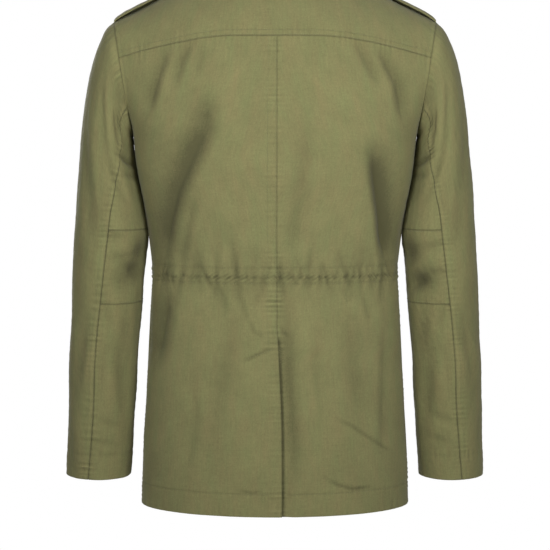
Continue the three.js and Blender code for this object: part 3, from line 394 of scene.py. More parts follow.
def body_relief(face, across, up, bare):
    """How far the cloth stands out of the bare form, and its tone: painted shade in folds, gathers, creases,
    seams and ripples, with lighter wear beside the side seams.
    """
    x, z = bare[..., 0], bare[..., 2]
    side = side_distance(face, across, up, bare)
    low = smooth((z - HEM) / HEM_CALM - 1)
    high = smooth((UNDERARM + FOLDS_TOP - z) / FOLDS_FADE + 0.5)
    rise = z - WAIST
    puff = CASING_PUFF * bell(rise, CASING_HALF) + WAIST_PUFF * bell(rise, WAIST_REACH)
    if face < 0:
        folds = sum(trough(x, z, *fold) for fold in FOLDS_BACK)
        gathers = sum(gather(x, z, *one) for one in GATHERS_BACK) + small_gathers(x, z, 11)
        ladder = 0.9 + 0.8 * bell(rise + LADDER_LOW, LADDER_LOW)
        fine = seam_pucker(z, np.abs(x - centre_x(z) + 4), 21, 9) * ladder * smooth((YOKE_SEAM - z) / 10)
        fine = fine + seam_pucker(x, np.abs(z - yoke_line(x)), 31, 9, 0.5) * (z > UNDERARM)
    else:
        folds = sum(trough(x * hand, z, *fold) for fold in FOLDS_FRONT for hand in (-1, 1))
        gathers = sum(gather(x * hand, z, *one) for one in GATHERS_FRONT for hand in (-1, 1))
        gathers = gathers + small_gathers(x, z, 12) * smooth((np.abs(x) - FACING_PLAIN) / 10)
        fine = seam_pucker(z, np.abs(np.abs(x) - FACING_ROW), 24, 5, 0.3)
    fine = fine + seam_pucker(z + x, side, 41, 9, 0.6) + seam_pucker(x, np.abs(z - HEM), 51, 9, 0.45)
    fine = fine + seam_pucker(x, np.abs(z - HEM - HEM_STITCH), 52, 6, 0.3)
    fine = fine + 0.9 * bell(rise, 6) * wander(x + 0.8 * z, 61, 5.5)
    drawn_in = np.clip(0.55 + 0.6 * wander(x, 63, 14), 0, 1)
    fine = fine - 1.5 * bell(rise + 1.2 * wander(x, 62, 30), 2.4) * drawn_in
    broad = 0.5 * unrest(x, z, 71 + face, 70) + 0.16 * unrest(x, z, 81 + face, 19)
    rows = (*CASING_ROWS, HEM + HEM_STITCH)
    grooves = sum(bell(z - row, GROOVE_HALF) for row in rows)
    painted_seam_shade = 1.4 * sunk(side) + 0.25 * grooves
    creases = 0
    if face < 0:
        below_yoke = smooth((yoke_line(x) - z) / 2)
        painted_seam_shade = painted_seam_shade + 1.2 * sunk((x - centre_x(z)) * 1.2) * below_yoke + sunk(z - yoke_line(x) - 0.4)
        creases = sum(trough(x, z, depth, wide, wide, path) for depth, wide, path in CREASES_BACK)
    calm = smooth(side / 12)
    out = puff * smooth(side / 8) - low * high * calm * folds - gathers * smooth(side / 9 + 0.15)
    out = out + (fine + broad) * smooth(side / 5) - STITCH_GROOVE * grooves - creases
    # Painted shade: darker in gathers, folds, creases and seams, lighter and darker with the ripples; the
    # lighter strip just inside the side seams is wear.
    tone = 0.7 * (fine + 0.2 * broad) - 0.35 * gathers - 0.2 * folds * low * calm + 0.3 * bell(side - 4, 3)
    return out, np.clip(tone - painted_seam_shade - 1.1 * creases, SHADED, 1)


def centre_x(height):
    return follow(CENTRE_SEAM, "height", "x", height)


SLEEVE = table(
    "at in_x in_z out_x out_z middle deep lean seam",
    (0, 206, -232, 233, -72, -3, 66, 0, 124),
    (13, 206.8, -237, 247, -90, -3, 69, 0, 123),
    (27, 207.4, -242, 257, -110, -3, 71, 0, 123.5),
    (45, 206.3, -249, 266, -138, -3, 72, 0, 126.5),
    (67, 205.2, -259, 273, -172, -2, 72, 0, 128.5),
    (96, 203.4, -273, 279, -216, -2, 71, 0, 124.5),
    (132, 199.6, -297, 283.5, -264, -1, 69, 0, 115.5),
    (175, 193.8, -330, 288.3, -318, 0, 66, 0.5, 102.5),
    (202, 190.4, -352, 290.5, -349, 1, 64, 0.5, 95),
    (239, 185.6, -389, 293.8, -385, 2, 61, 1, 89),
    (300, 191.8, -448, 296.8, -446, 4, 58, 1.5, 85.5),
    (358, 197, -506, 299.8, -505, 7, 56, 2, 82),
    (417, 202, -565, 302.6, -564, 9, 54, 2, 80),
    (475, 205.2, -624, 304.6, -623, 12, 52, 2.5, 80),
    (533, 209.4, -683, 306.4, -681, 14, 50, 2.5, 78),
    (588, 213.7, -737, 308.3, -736, 16, 48, 2.5, 75),
)
CAP_BLEND = 55


def armhole(turn):
    """The armhole seam, by degrees round it: 0 at the shoulder point, 90 behind, 180 under the arm."""
    turn = np.mod(turn, 360)
    behind = form(-1, 1.0, 1 - turn / 180)
    before = form(1, 1.0, turn / 180 - 1)
    return np.where((turn <= 180)[..., None], behind, before)


def tube(turn, at):
    """The bare tube of the wearer's right sleeve."""
    turn, at = np.broadcast_arrays(np.asarray(turn, float), np.asarray(at, float))
    columns = ("in_x", "in_z", "out_x", "out_z", "middle", "deep", "lean")
    in_x, in_z, out_x, out_z, middle, deep, lean = (follow(SLEEVE, "at", one, at) for one in columns)
    round_cos, round_sin, tilt = np.cos(np.radians(turn)), np.sin(np.radians(turn)), np.radians(lean)
    x = (in_x + out_x) / 2 + (out_x - in_x) * round_cos / 2
    y = middle - deep * round_sin * np.cos(tilt)
    z = (in_z + out_z) / 2 + (out_z - in_z) * round_cos / 2 - deep * round_sin * np.sin(tilt)
    return np.stack([x, y, z], axis=-1)


def bare_sleeve(turn, at):
    """The tube, drawn to the armhole's own line near its head."""
    drawn = armhole(turn) - tube(turn, 0)
    return tube(turn, at) + drawn * (1 - smooth(at / CAP_BLEND))[..., None]


def sleeve_normal(turn, at):
    at = np.asarray(at, float)
    low = np.maximum(at - 1.5, 0)
    round_it = bare_sleeve(turn - 1, at) - bare_sleeve(turn + 1, at)
    along = bare_sleeve(turn, low + 3) - bare_sleeve(turn, low)
    return unit(np.cross(along, round_it))


def armhole_edge(turn, aside):
    """Outer and inner points of a cloth's edge at the armhole seam: -1 for the body, 1 for the sleeve."""
    turn = np.mod(turn, 360)
    up = np.clip(np.where(turn <= 180, 1 - turn / 180, turn / 180 - 1), 0.02, 0.98)
    panel = np.where((turn <= 180)[..., None], body_normal(-1, NEAR_EDGE, up), body_normal(1, NEAR_EDGE, up))
    out = panel + sleeve_normal(turn, np.full(turn.shape, 0.5))
    out[..., 2] -= 0.35 * bell(turn - 180, 40)
    out = unit(out)
    along = unit(armhole(turn + 1) - armhole(turn - 1))
    apart = unit(np.cross(out, along))
    outer = armhole(turn) + apart * aside * HALF_GAP
    return outer, outer - out * CLOTH


def body_points(face, across, up, out=0):
    """A panel's outer and inner points and its shading, with its edge drawn to the armhole seam."""
    across, up = np.broadcast_arrays(np.asarray(across, float), np.asarray(up, float))
    side = np.where(across < 0, -1.0, 1.0)
    gap = share_of(face, side, -0.5, HALF_GAP)
    low_edge = (np.abs(across) >= 1) & (up < 0)
    across = np.where(low_edge, across - side * gap, across)
    bare = form(face, across, up)
    normal = body_normal(face, across, up)
    relief, tone = body_relief(face, across, up, bare)
    outer = bare + normal * (relief + out)[..., None]
    shoulder = (up > NEAR_EDGE) & (np.abs(across) >= NECK_SHARE)
    through = np.where(shoulder[..., None], unit(normal + body_normal(-face, across, 1 + 0 * up)), normal)
    thick = CLOTH + HEM_THICK * smooth((HEM + HEM_STITCH - bare[..., 2]) / 3)
    inner = outer - through * thick[..., None]
    turn = np.clip(180 * (1 - up), 0.12, 179.88)
    edge_outer, edge_inner = armhole_edge(turn if face < 0 else 360 - turn, -1)
    edge_outer[..., 0] *= side
    edge_inner[..., 0] *= side
    sewn = ((np.abs(across) >= 1) & (up >= 0))[..., None]
    return np.where(sewn, edge_outer, outer), np.where(sewn, edge_inner, inner), tone


def share_of(face, across, up, distance):
    """A distance across the body, in shares of its half width."""
    away = form(face, across + STEP / 2, up) - form(face, across - STEP / 2, up)
    return distance * STEP / np.linalg.norm(away, axis=-1)


def rise_of(face, across, up, distance):
    """A distance up the body, in shares of the way from the chest line to the shoulder."""
    middle = np.clip(up, STEP / 2 - 1, 1 - STEP / 2)
    away = form(face, across, middle + STEP / 2) - form(face, across, middle - STEP / 2)
    return distance * STEP / np.linalg.norm(away, axis=-1)


def across_at(face, x, height):
    """The share of the half width that lies a distance from the centre, at one height."""
    reach = search(0 * x, 1 + 0 * x, lambda share: section(face, share, height)[..., 0] < np.abs(x))
    return np.sign(x) * reach


def up_at(face, across, height):
    """How far up a column of the body reaches a height."""
    found = search(0 * across, 1 + 0 * across, lambda up: form(face, across, up)[..., 2] < height)
    return np.where(height < chest_line(across), up_of(height, across), found)


def up_of(height, across):
    """The same for heights below the chest line, where the way down to the hem counts."""
    return (height - chest_line(across)) / (chest_line(across) - HEM)


def yoke_seam(across):
    """How far up each column of the back meets the yoke."""

    def below(up):
        place = form(-1, across, up)
        return place[..., 2] < yoke_line(place[..., 0])

    return search(0 * across, 1 + 0 * across, below)


def steps(*stretches):
    """Places from the first stretch's start on, each stretch given as its end and the step within it."""
    places = [stretches[0]]
    for end, step in stretches[1:]:
        count = max(1, round(abs(end - places[-1]) / step))
        places.extend(np.linspace(places[-1], end, count + 1)[1:])
    return np.array(places)


BACK_HEIGHTS = steps(
    HEM, (-764, 2), (-748, 3), (-736, 1.3), (-560, 2.8), (-490, 2.4), (-400, 1.7), (LEVEL_TOP, 2.5)
)
BACK_TOP_ROWS = steps(0, (0.984, 1 / 68), (1, 0.004))[1:, None]
EDGE_ROUND = 0.7
CLOTH_SHARP = 1.1


def placed(name, points, faces, *finishes):
    """A smooth mesh on the frame, from points in millimetres, with its materials."""
    mesh = bpy.data.meshes.new(name)
    mesh.from_pydata((np.asarray(points) * MM).tolist(), [], faces)
    mesh.polygons.foreach_set("use_smooth", np.ones(len(faces), bool))
    for finish in finishes:
        mesh.materials.append(finish)
    piece = bpy.data.objects.new(name, mesh)
    bpy.context.collection.objects.link(piece)
    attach(piece, "root")
    return piece


def shell(name, outer, inner, tone):
    """A closed thin mesh from a grid of outer points and the inner points behind them.

    Its four edges are rounded, as folded and pressed cloth is.
    """
    core = (outer + inner) / 2
    for points in (outer, inner):
        for edge in (np.s_[0], np.s_[-1], np.s_[:, 0], np.s_[:, -1]):
            points[edge] = core[edge] + (points[edge] - core[edge]) * EDGE_ROUND
    rows, columns = outer.shape[:2]
    count = rows * columns
    ids = np.arange(count).reshape(rows, columns)
    shown = np.stack([ids[:-1, :-1], ids[:-1, 1:], ids[1:, 1:], ids[1:, :-1]], -1).reshape(-1, 4)
    rim = np.concatenate([ids[0], ids[1:, -1], ids[-1, -2::-1], ids[-2:0:-1, 0]])
    following = np.roll(rim, -1)
    edge = np.stack([following, rim, rim + count, following + count], -1)
    faces = np.concatenate([shown, shown[:, ::-1] + count, edge])
    points = np.concatenate([outer.reshape(-1, 3), inner.reshape(-1, 3)])
    a, b, c, d = (points[faces[:, corner]] for corner in range(4))
    volume = np.sum(a * np.cross(b, c)) + np.sum(a * np.cross(c, d))
    if volume < 0:
        faces = faces[:, ::-1]
    piece = placed(name, points, faces.tolist(), twill)
    width = np.cumsum(np.linalg.norm(np.diff(outer, axis=1, prepend=outer[:, :1]), axis=-1), axis=1)
    middle = width[:, columns // 2 : columns // 2 + 1]
    length = np.cumsum(np.linalg.norm(np.diff(outer, axis=0, prepend=outer[:1]), axis=-1), axis=0)
    flat = np.stack([width - middle, length], -1).reshape(-1, 2) * MM
    layer = piece.data.uv_layers.new(name="cloth")
    layer.data.foreach_set("uv", flat[faces.ravel() % count].ravel())
    shade = piece.data.attributes.new("tone", "FLOAT", "POINT")
    shade.data.foreach_set("value", np.tile(tone.ravel(), 2))
    piece.data.set_sharp_from_angle(angle=CLOTH_SHARP)
    return piece


class Shade:
    """A socket of a material's nodes, on which arithmetic adds Math nodes."""

    def __init__(self, tree, socket=None):
        self.tree = tree
        self.socket = socket

    def node(self, kind, settings=None, sockets=None, output=0):
        """A node of a kind, with its settings made first and its sockets given values or links."""
        made = self.tree.nodes.new("ShaderNode" + kind)
        for name, value in (settings or {}).items():
            setattr(made, name, value)
        for name, value in (sockets or {}).items():
            if isinstance(value, Shade):
                self.tree.links.new(value.socket, made.inputs[name])
            else:
                made.inputs[name].default_value = value
        return Shade(self.tree, made.outputs[output])

    def maths(self, operation, first, second):
        return self.node("Math", {"operation": operation}, {0: first, 1: second})

    def __add__(self, other):
        return self.maths("ADD", self, other)

    __radd__ = __add__

    def __sub__(self, other):
        return self.maths("SUBTRACT", self, other)

    def __rsub__(self, other):
        return self.maths("SUBTRACT", other, self)

    def __mul__(self, other):
        return self.maths("MULTIPLY", self, other)

    __rmul__ = __mul__

    def stretched(self, x, y, z):
        """A vector socket, scaled along its three directions."""
        return self.node("VectorMath", {"operation": "MULTIPLY"}, {0: self, 1: (x, y, z)})

    def noise(self, scale, detail=2.0, roughness=0.5):
        """Noise from 0 to 1 over a vector socket."""
        sockets = {"Vector": self, "Scale": scale, "Detail": detail, "Roughness": roughness}
        return self.node("TexNoise", None, sockets)

    def blend(self, low, high):
        """A colour between two colours, by this socket's value."""
        settings = {"data_type": "RGBA", "clamp_factor": True}
        return self.node("Mix", settings, {0: self, 6: low, 7: high}, output=2)

    def feed(self, shader, name):
        """Links this socket to one of a shader node's own sockets."""
        self.tree.links.new(self.socket, shader.inputs[name])


def tint(red, green, blue):
    """A colour as it is seen on a screen, from 0 to 255, turned into light."""
    levels = np.array([red, green, blue]) / 255
    light = np.where(levels <= 0.04045, levels / 12.92, ((levels + 0.055) / 1.055) ** 2.4)
    return (*light.tolist(), 1.0)


def material(name, **constants):
    """A new material's shader node and the start of its graph; constants go on the shader's sockets."""
    made = bpy.data.materials.new(name)
    made.use_nodes = True
    shader = made.node_tree.nodes["Principled BSDF"]
    for socket, value in constants.items():
        shader.inputs[socket.replace("_", " ")].default_value = value
    return made, shader, Shade(made.node_tree)


TWILL_GREEN = tint(143, 157, 101)
TWILL_WARM = tint(168, 150, 104)
# The dark end: the twill's darker threads, and the painted shade in its deepest folds.
TWILL_DARK_AND_SHADE = tint(89, 87, 57)
TWILL_PITCH = 0.9

twill, cloth_shader, graph = material("olive_twill", Roughness=0.88, Sheen_Weight=0.12, Sheen_Roughness=0.5)
cloth_shader.inputs["Specular IOR Level"].default_value = 0.25
place = graph.node("UVMap", {"uv_map": "cloth"})
# The tone attribute: painted shade in folds, gathers, creases, seams and ripples, with some lighter wear
# beside seams.
wear_and_painted_shade = graph.node("Attribute", {"attribute_name": "tone"}, output=2)
slubs = place.stretched(1, 0.16, 1).noise(1500, 3.0, 0.6)
cross_slubs = place.stretched(0.2, 1, 1).noise(1300, 3.0, 0.6)
patches = place.noise(22, 4.0, 0.6)
streaks = place.stretched(1, 0.1, 1).noise(430, 3.0, 0.6)
cross_streaks = place.stretched(0.12, 1, 1).noise(500, 3.0, 0.6)
heather = 0.5 + 0.5 * (slubs - 0.5) + 0.4 * (cross_slubs - 0.5) + 0.3 * (streaks - 0.5)
# The heather is shifted by the tone's painted shade and wear.
heather = heather + 0.2 * (cross_streaks - 0.5) + 0.3 * (patches - 0.5) + 0.25 * wear_and_painted_shade
leaning = place.stretched(1, 0.25, 1).noise(55, 3.0, 0.6)
warm_light = leaning.blend(TWILL_GREEN, TWILL_WARM)
body_colour = heather.blend(TWILL_DARK_AND_SHADE, warm_light)
ribs = graph.node(
    "TexWave",
    {"wave_type": "BANDS", "bands_direction": "DIAGONAL"},
    {"Vector": place, "Scale": 0.444 / (TWILL_PITCH * MM), "Distortion": 0.8, "Detail": 1.0},
    output=1,
)
coloured = (0.1 * ribs).blend(body_colour, TWILL_DARK_AND_SHADE)
height = 0.35 * ribs + 0.8 * slubs + 0.6 * cross_slubs + 0.5 * streaks
bump = graph.node("Bump", None, {"Strength": 0.5, "Distance": 0.0004, "Height": height})
coloured.feed(cloth_shader, "Base Color")
bump.feed(cloth_shader, "Normal")

STITCH_LONG = 2.6
STITCH_PITCH = 3.4
STITCH_THICK = 0.42
thread, thread_shader, thread_graph = material("olive_thread", Roughness=0.6, Sheen_Weight=0.1)
strand = thread_graph.node("TexCoord", output=3).noise(900)
strand.blend(tint(98, 97, 63), tint(128, 127, 84)).feed(thread_shader, "Base Color")


def stitches(name, lines):
    """Rows of small raised stitches along lines of points on the cloth, each with its outward direction."""
    points, faces = [], []
    first = 0
    for path, outward in lines:
        legs = np.linalg.norm(np.diff(path, axis=0), axis=1)
        run = np.concatenate([[0], np.cumsum(legs)])
        starts = np.arange(STITCH_PITCH / 2, run[-1] - STITCH_LONG, STITCH_PITCH)
        places = np.stack([starts, starts + STITCH_LONG / 2, starts + STITCH_LONG])
        spine = np.stack([np.interp(places, run, path[:, axis]) for axis in range(3)], -1)
        out = unit(np.stack([np.interp(places[1], run, outward[:, axis]) for axis in range(3)], -1))
        along = unit(spine[2] - spine[0])
        aside = np.cross(along, out)
        for middle, thick, lift in ((0, 0.35, -0.1), (1, 1, 0.12), (2, 0.35, -0.1)):
            spine[middle] += out * lift
            for across, up in ((1, 0), (0, 0.8), (-1, 0), (0, -0.8)):
                points.append(spine[middle] + (aside * across + out * up) * STITCH_THICK * thick)
        own = first + np.arange(12 * len(starts)).reshape(12, -1)
        first += own.size
        for ring in (0, 4):
            for corner in range(4):
                low, following = ring + corner, ring + (corner + 1) % 4
                faces.append(own[[low, following, following + 4, low + 4]].T)
        faces.append(own[[3, 2, 1, 0]].T)
        faces.append(own[[8, 9, 10, 11]].T)
    piece = placed(name, np.concatenate(points), np.concatenate(faces).tolist(), thread)
    return piece


def sewn(piece, node, flat, held, rests_on, area, lines):
    """A finished cloth piece: its node's own part is hidden, and its stitches are made."""
    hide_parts(node)
    rows = [stitches(node + "_stitches", lines)] if lines else []


def on_body(face, across, up, out=0):
    """A line of points on a panel, with their outward directions."""
    outer, inner, tone = body_points(face, across, up, out)
    return outer, unit(outer - inner)


def line_at(face, x, height):
    """The same for a line that is given by its distances from the centre and its heights."""
    across = across_at(face, x, height)
    return on_body(face, across, up_of(height, across))


def level_line(face, height, start, end):
    x = np.linspace(start, end, 160)
    return line_at(face, x, height + 0 * x)


def side_inset(face, side, up, distance):
    """The column that lies a distance from the side seam or the armhole seam."""

    def outside(inset):
        column = side * (1 - inset)
        bare = form(face, column, up)
        return side_distance(face, column, up, bare) < distance

    return side * (1 - search(0 * up, 0.3 + 0 * up, outside))


def armhole_line(face, side, start, end, count):
    climb = np.linspace(start, end, count)
    return on_body(face, side_inset(face, side, climb, ARMHOLE_ROW), climb)


def shoulder_line(face, side):
    slope = side * np.linspace(NECK_SHARE + 0.01, 0.98, 160)
    return on_body(face, slope, 1 - rise_of(face, slope, 1 + 0 * slope, SHOULDER_ROW))


VENT_UNDERLAP = 36
VENT_TUCK = 2.3
VENT_FALL = 2.5
VENT_SHADE = 2.2
CASING_END = 176
HEM_END = 190
BACK_STEP = 2.1
BACK_WIDE = 186
BACK_ROWS = (1.6, 13)
SEAM_LEVEL = -285
ARMHOLE_ROW = 8
SHOULDER_ROW = 3


def back_panel(side):
    """One half of the back. side is -1 for the wearer's left and 1 for the right."""
    heights = BACK_HEIGHTS[:, None]
    starts = centre_x(heights) + side * HALF_GAP
    if side > 0:
        starts = starts - VENT_UNDERLAP * smooth((VENT_TOP + 2 - heights) / 30)
    start = across_at(-1, starts, heights)
    upper_start = share_of(-1, 0.0, 0.3, centre_x(0) + side * HALF_GAP)
    start = np.concatenate([start, np.full((len(BACK_TOP_ROWS), 1), upper_start)])
    columns = steps(0, (0.015, 0.004), (NEAR_EDGE, BACK_STEP / BACK_WIDE), (1, 0.004))[None, :]
    across = start + (side - start) * columns
    seam = yoke_seam(across[-1:])
    top = seam - rise_of(-1, across[-1:], seam, HALF_GAP)
    low_up = up_of(heights, across[: len(heights)])
    foot = up_of(LEVEL_TOP, across[len(heights) :])
    high_up = foot + (top - foot) * BACK_TOP_ROWS
    up = np.concatenate([low_up, high_up])
    bare = form(-1, across, up)
    x, z = bare[..., 0], bare[..., 2]
    tuck = 0
    if side > 0:
        near = smooth((centre_x(z) + 20 - x) / 17)
        open_vent = smooth((VENT_TOP + 14 - z) / 12)
        tuck = -near * open_vent * (VENT_TUCK + VENT_FALL * smooth((VENT_TOP - z) / 60))
    outer, inner, tone = body_points(-1, across, up, tuck)
    if side > 0:
        # Painted shadow of the left panel's lapped edge, on the right panel beside the vent.
        tone = tone - VENT_SHADE * open_vent * bell(x - centre_x(z) - 1, 2.4)
    piece = shell("cloth_back_" + HAND[side], outer, inner, tone)
    lines = [level_line(-1, row, side * 8 + 3, side * CASING_END) for row in CASING_ROWS]
    lines.append(level_line(-1, HEM + HEM_STITCH, side * 12 + 8, side * HEM_END))
    lines.append(armhole_line(-1, side, 0.03, float(top[0, -1]) - 0.01, 90))
    if side < 0:
        for distance in BACK_ROWS:
            low = np.linspace(VENT_TOP, SEAM_LEVEL, 160)
            lines.append(line_at(-1, centre_x(low) - distance, low))
            climb = np.linspace(float(up_of(SEAM_LEVEL, 0.0)), float(top[0, 0]) - 0.008, 120)
            column = share_of(-1, 0.0, 0.3, centre_x(0) - distance) + 0 * climb
            lines.append(on_body(-1, column, climb))
        bar = np.linspace(0, 1, 30)
        lines.append(line_at(-1, centre_x(VENT_TOP) - 1 - bar * 44, VENT_TOP - 3 - bar * 17))
    sewn(piece, "back_" + HAND[side], (0.262, 0.68), "hung", ["collar_stand"], 0.166, lines)


for side in (-1, 1):
    back_panel(side)

# Yoke
# One shaped piece of the same twill across both shoulders, up to the neck and shoulder seams. It is laid
# over the back panels' tops and stitched down twice, so its lower edge stands a little proud.
YOKE_STEP = 2.3 / 230
YOKE_ROWS = (1.7, 8.6)
YOKE_LIFT = 0.7


def top_up(face, across):
    """How far up a column reaches: to the neck seam, or to the shoulder seam."""
    share = np.abs(across)
    deep = NECK_DEEP[face]

    def outside(up):
        spot = form(face, share, up)
        return np.hypot(spot[..., 0] / NECK_HALF, (spot[..., 1] - MIDDLE) / deep) > 1

    cut = search(0.3 + 0 * share, 1 + 0 * share, outside)
    top = np.where(share >= NECK_SHARE, 1, cut)
    return top - rise_of(face, np.minimum(share, NEAR_EDGE), top, HALF_GAP)


def yoke():
    beside = steps(NECK_SHARE, (1, YOKE_STEP))
    over_neck = steps(-NECK_SHARE, (NECK_SHARE, YOKE_STEP))
    across = np.concatenate([-beside[::-1], over_neck[1:-1], beside])[None, :]
    seam = yoke_seam(across)
    low = seam + rise_of(-1, across, seam, HALF_GAP)
    top = top_up(-1, across)
    rows = steps(0, (0.03, 0.0075), (1, 1 / 45))[:, None]
    up = low + (top - low) * rows
    across = across + 0 * up
    bare = form(-1, across, up)
    above = bare[..., 2] - yoke_line(bare[..., 0])
    edge = 1 - smooth((np.abs(across) - 0.9) / 0.08)
    lift = YOKE_LIFT * np.exp(-above / 9) * edge
    outer, inner, tone = body_points(-1, across, up, lift)
    piece = shell("cloth_yoke", outer, inner, tone)
    lines = []
    spread = np.linspace(-0.99, 0.99, 420)
    line_seam = yoke_seam(spread)
    for distance in YOKE_ROWS:
        line_up = line_seam + rise_of(-1, spread, line_seam, distance)
        lines.append(on_body(-1, spread, line_up, YOKE_LIFT * 0.8))
    for side in (-1, 1):
        lines.append(armhole_line(-1, side, float(low[0, -1]) + 0.02, 0.97, 80))
        lines.append(shoulder_line(-1, side))
    sewn(piece, "back_yoke", (0.56, 0.2), "draped", ["collar_stand"], 0.057, lines)


yoke()

# Fronts
# Two fronts of the same twill, the left lapping over the right down the middle. Each is faced at its edge,
# which a row of stitching holds, and takes up the same casing at the waist.
FOLDS_FRONT = [
    (4, 8, 10, [(190, -130), (192, -250)]),
    (5, 10, 12, [(192, -290), (184, -350), (172, -415)]),
    (3, 9, 12, [(62, -358), (74, -425)]),
    (2.5, 9, 11, [(128, -356), (120, -420)]),
    (2.5, 11, 13, [(36, -300), (30, -410)]),
    (2.5, 9, 11, [(34, -470), (30, -700)]),
]
GATHERS_FRONT = [
    (34, 28, 20, 0.10, 1.8, 4),
    (44, 18, 16, -0.20, 1.8, 2.8),
    (55, 34, 30, 0.00, 2.4, 3.8),
    (67, 20, 18, 0.20, 1.8, 2.8),
    (78, 26, 24, -0.10, 2.0, 4),
    (90, 16, 22, 0.15, 2.2, 2.8),
    (101, 38, 26, 0.10, 2.8, 4),
    (112, 20, 16, -0.30, 1.8, 2.8),
    (124, 24, 30, 0.00, 2.0, 4),
    (137, 22, 18, 0.20, 2.2, 3),
    (150, 30, 24, -0.10, 2.8, 4.2),
    (163, 18, 22, 0.10, 2.0, 3),
]
LAP = {-1: 16, 1: 20}
LAP_TUCK = 3.2
LAP_RAMP = 18
FRONT_STEP = 3
FRONT_WIDE = 205
FRONT_BAND = 34
FRONT_HEIGHTS = steps(HEM, (-764, 2.5), (-748, 3.2), (-736, 1.6), (-490, 3.2), (-400, 2), (LEVEL_TOP, 3.2))
FRONT_TOP_ROWS = np.linspace(0, 1, 62)[1:, None]
FACING_LEVEL = -270


def front_panel(side):
    heights = FRONT_HEIGHTS[:, None]
    low_start = across_at(1, -side * LAP[side] + 0 * heights, heights)
    top_start = -side * share_of(1, 0.0, FRONT_TOP_ROWS * top_up(1, np.zeros((1, 1))), LAP[side])
    start = np.concatenate([low_start, top_start])
    columns = steps(0, (1, FRONT_STEP / FRONT_WIDE))[None, :]
    across = start + (side - start) * columns
    level = len(heights)
    top = top_up(1, across[-1:])
    foot = up_of(LEVEL_TOP, across[level:])
    up = np.concatenate([up_of(heights, across[:level]), foot + (top - foot) * FRONT_TOP_ROWS])
    tuck = 0
    if side > 0:
        x = form(1, across, up)[..., 0]
        tuck = -LAP_TUCK * smooth((LAP[-1] + LAP_RAMP - x) / LAP_RAMP)
    outer, inner, tone = body_points(1, across, up, tuck)
    piece = shell("cloth_front_" + HAND[side], outer, inner, tone)
    lines = [level_line(1, row, side * (FRONT_BAND + 3), side * CASING_END) for row in CASING_ROWS]
    hem_start = FRONT_BAND if side > 0 else 10
    lines.append(level_line(1, HEM + HEM_STITCH, hem_start, side * HEM_END))
    lines.append(armhole_line(1, side, 0.03, 0.97, 110))
    lines.append(shoulder_line(1, side))
    if side < 0:
        neck = float(top_up(1, np.zeros(1))[0]) - 0.02
        for place in (LAP[-1] - 2, LAP[-1] - FRONT_BAND):
            low = np.linspace(HEM + 4, FACING_LEVEL, 300)
            lines.append(line_at(1, place + 0 * low, low))
            climb = np.linspace(float(up_of(FACING_LEVEL, 0.0)), neck, 120)
            lines.append(on_body(1, share_of(1, 0 * climb, climb, place), climb))
    sewn(piece, "front_" + HAND[side], (0.3, 0.78), "hung", ["collar_stand"], 0.2, lines)


for side in (-1, 1):
    front_panel(side)

# Sleeves
# Each sleeve is cut in an upper and an under part, the under part crossed by an elbow panel. The back seam
# is felled and stitched twice, the hem is turned up and stitched, and the arm's bend has creased the cloth.
SLEEVE_LENGTH = 588
FRONT_SEAM = 235
ELBOW_TOP = 222
ELBOW_FOOT = 330
ELBOW_ROW = 2.2
SLEEVE_HEM = SLEEVE_LENGTH - 37
SLEEVE_STEP = 2.7
SLEEVE_BAND = 9
SEAM_FINE = 0.7
END_FINE = 0.75
HEAD_PUFF = 1.4
SLEEVE_TOUCH = 1.1
# Folds of the sleeve: hand (0 for both), place along it, degrees round it, depth, half sizes, twist
FOLDS_SLEEVE = [
    (0, 80, 84, 3.2, 46, 9, 0.35),
    (0, 255, 152, 7, 20, 22, 0),
    (0, 298, 128, 4, 14, 26, 0),
    (0, 190, 60, 2.5, 60, 12, 0.1),
    (0, 395, 55, 3, 50, 12, -0.2),
    (0, 455, 130, 3.6, 55, 13, 0.15),
    (0, 240, 300, 4, 18, 26, 0),
    (0, 205, 285, 3, 14, 24, 0),
    (0, 90, 282, 4, 40, 12, -0.3),
    (0, 400, 300, 3, 50, 13, 0.1),
    (0, 104, 142, 5, 9, 22, 0.8),
    (0, 132, 146, 2.4, 7, 20, -0.6),
    (0, 56, 112, 2.6, 30, 6, 0.3),
    (0, 34, 122, 4.2, 26, 11, 0),
    (-1, 232, 100, 2.8, 7, 22, 1.4),
    (-1, 262, 112, 2.4, 6, 20, -1.2),
    (-1, 282, 142, 8, 14, 20, 0.8),
    (1, 246, 104, 2.6, 8, 22, 1.1),
    (1, 284, 100, 2.4, 7, 22, -1.0),
    (1, 300, 140, 7, 14, 20, 0.6),
    (-1, 150, 112, 2.4, 30, 7, 0.5),
    (1, 140, 108, 2.2, 34, 7, 0.4),
    (-1, 505, 108, 2.2, 10, 20, 1.6),
    (-1, 532, 96, 1.8, 7, 18, 1.8),
    (-1, 552, 112, 1.6, 6, 16, 1.2),
    (1, 498, 100, 2.2, 10, 20, -1.6),
    (1, 528, 112, 1.8, 7, 18, -1.4),
    (0, 350, 100, 2, 26, 8, 0.3),
    (0, 366, 132, 3.2, 34, 13, 0.2),
    (0, 430, 92, 1.8, 40, 7, -0.12),
    (0, 120, 40, 1.8, 50, 10, 0.1),
]


def seam_turn(at):
    return follow(SLEEVE, "at", "seam", at)


def girth_of(at):
    """Millimetres round the sleeve for each degree."""
    return follow(SLEEVE, "at", "deep", at) * np.pi / 180


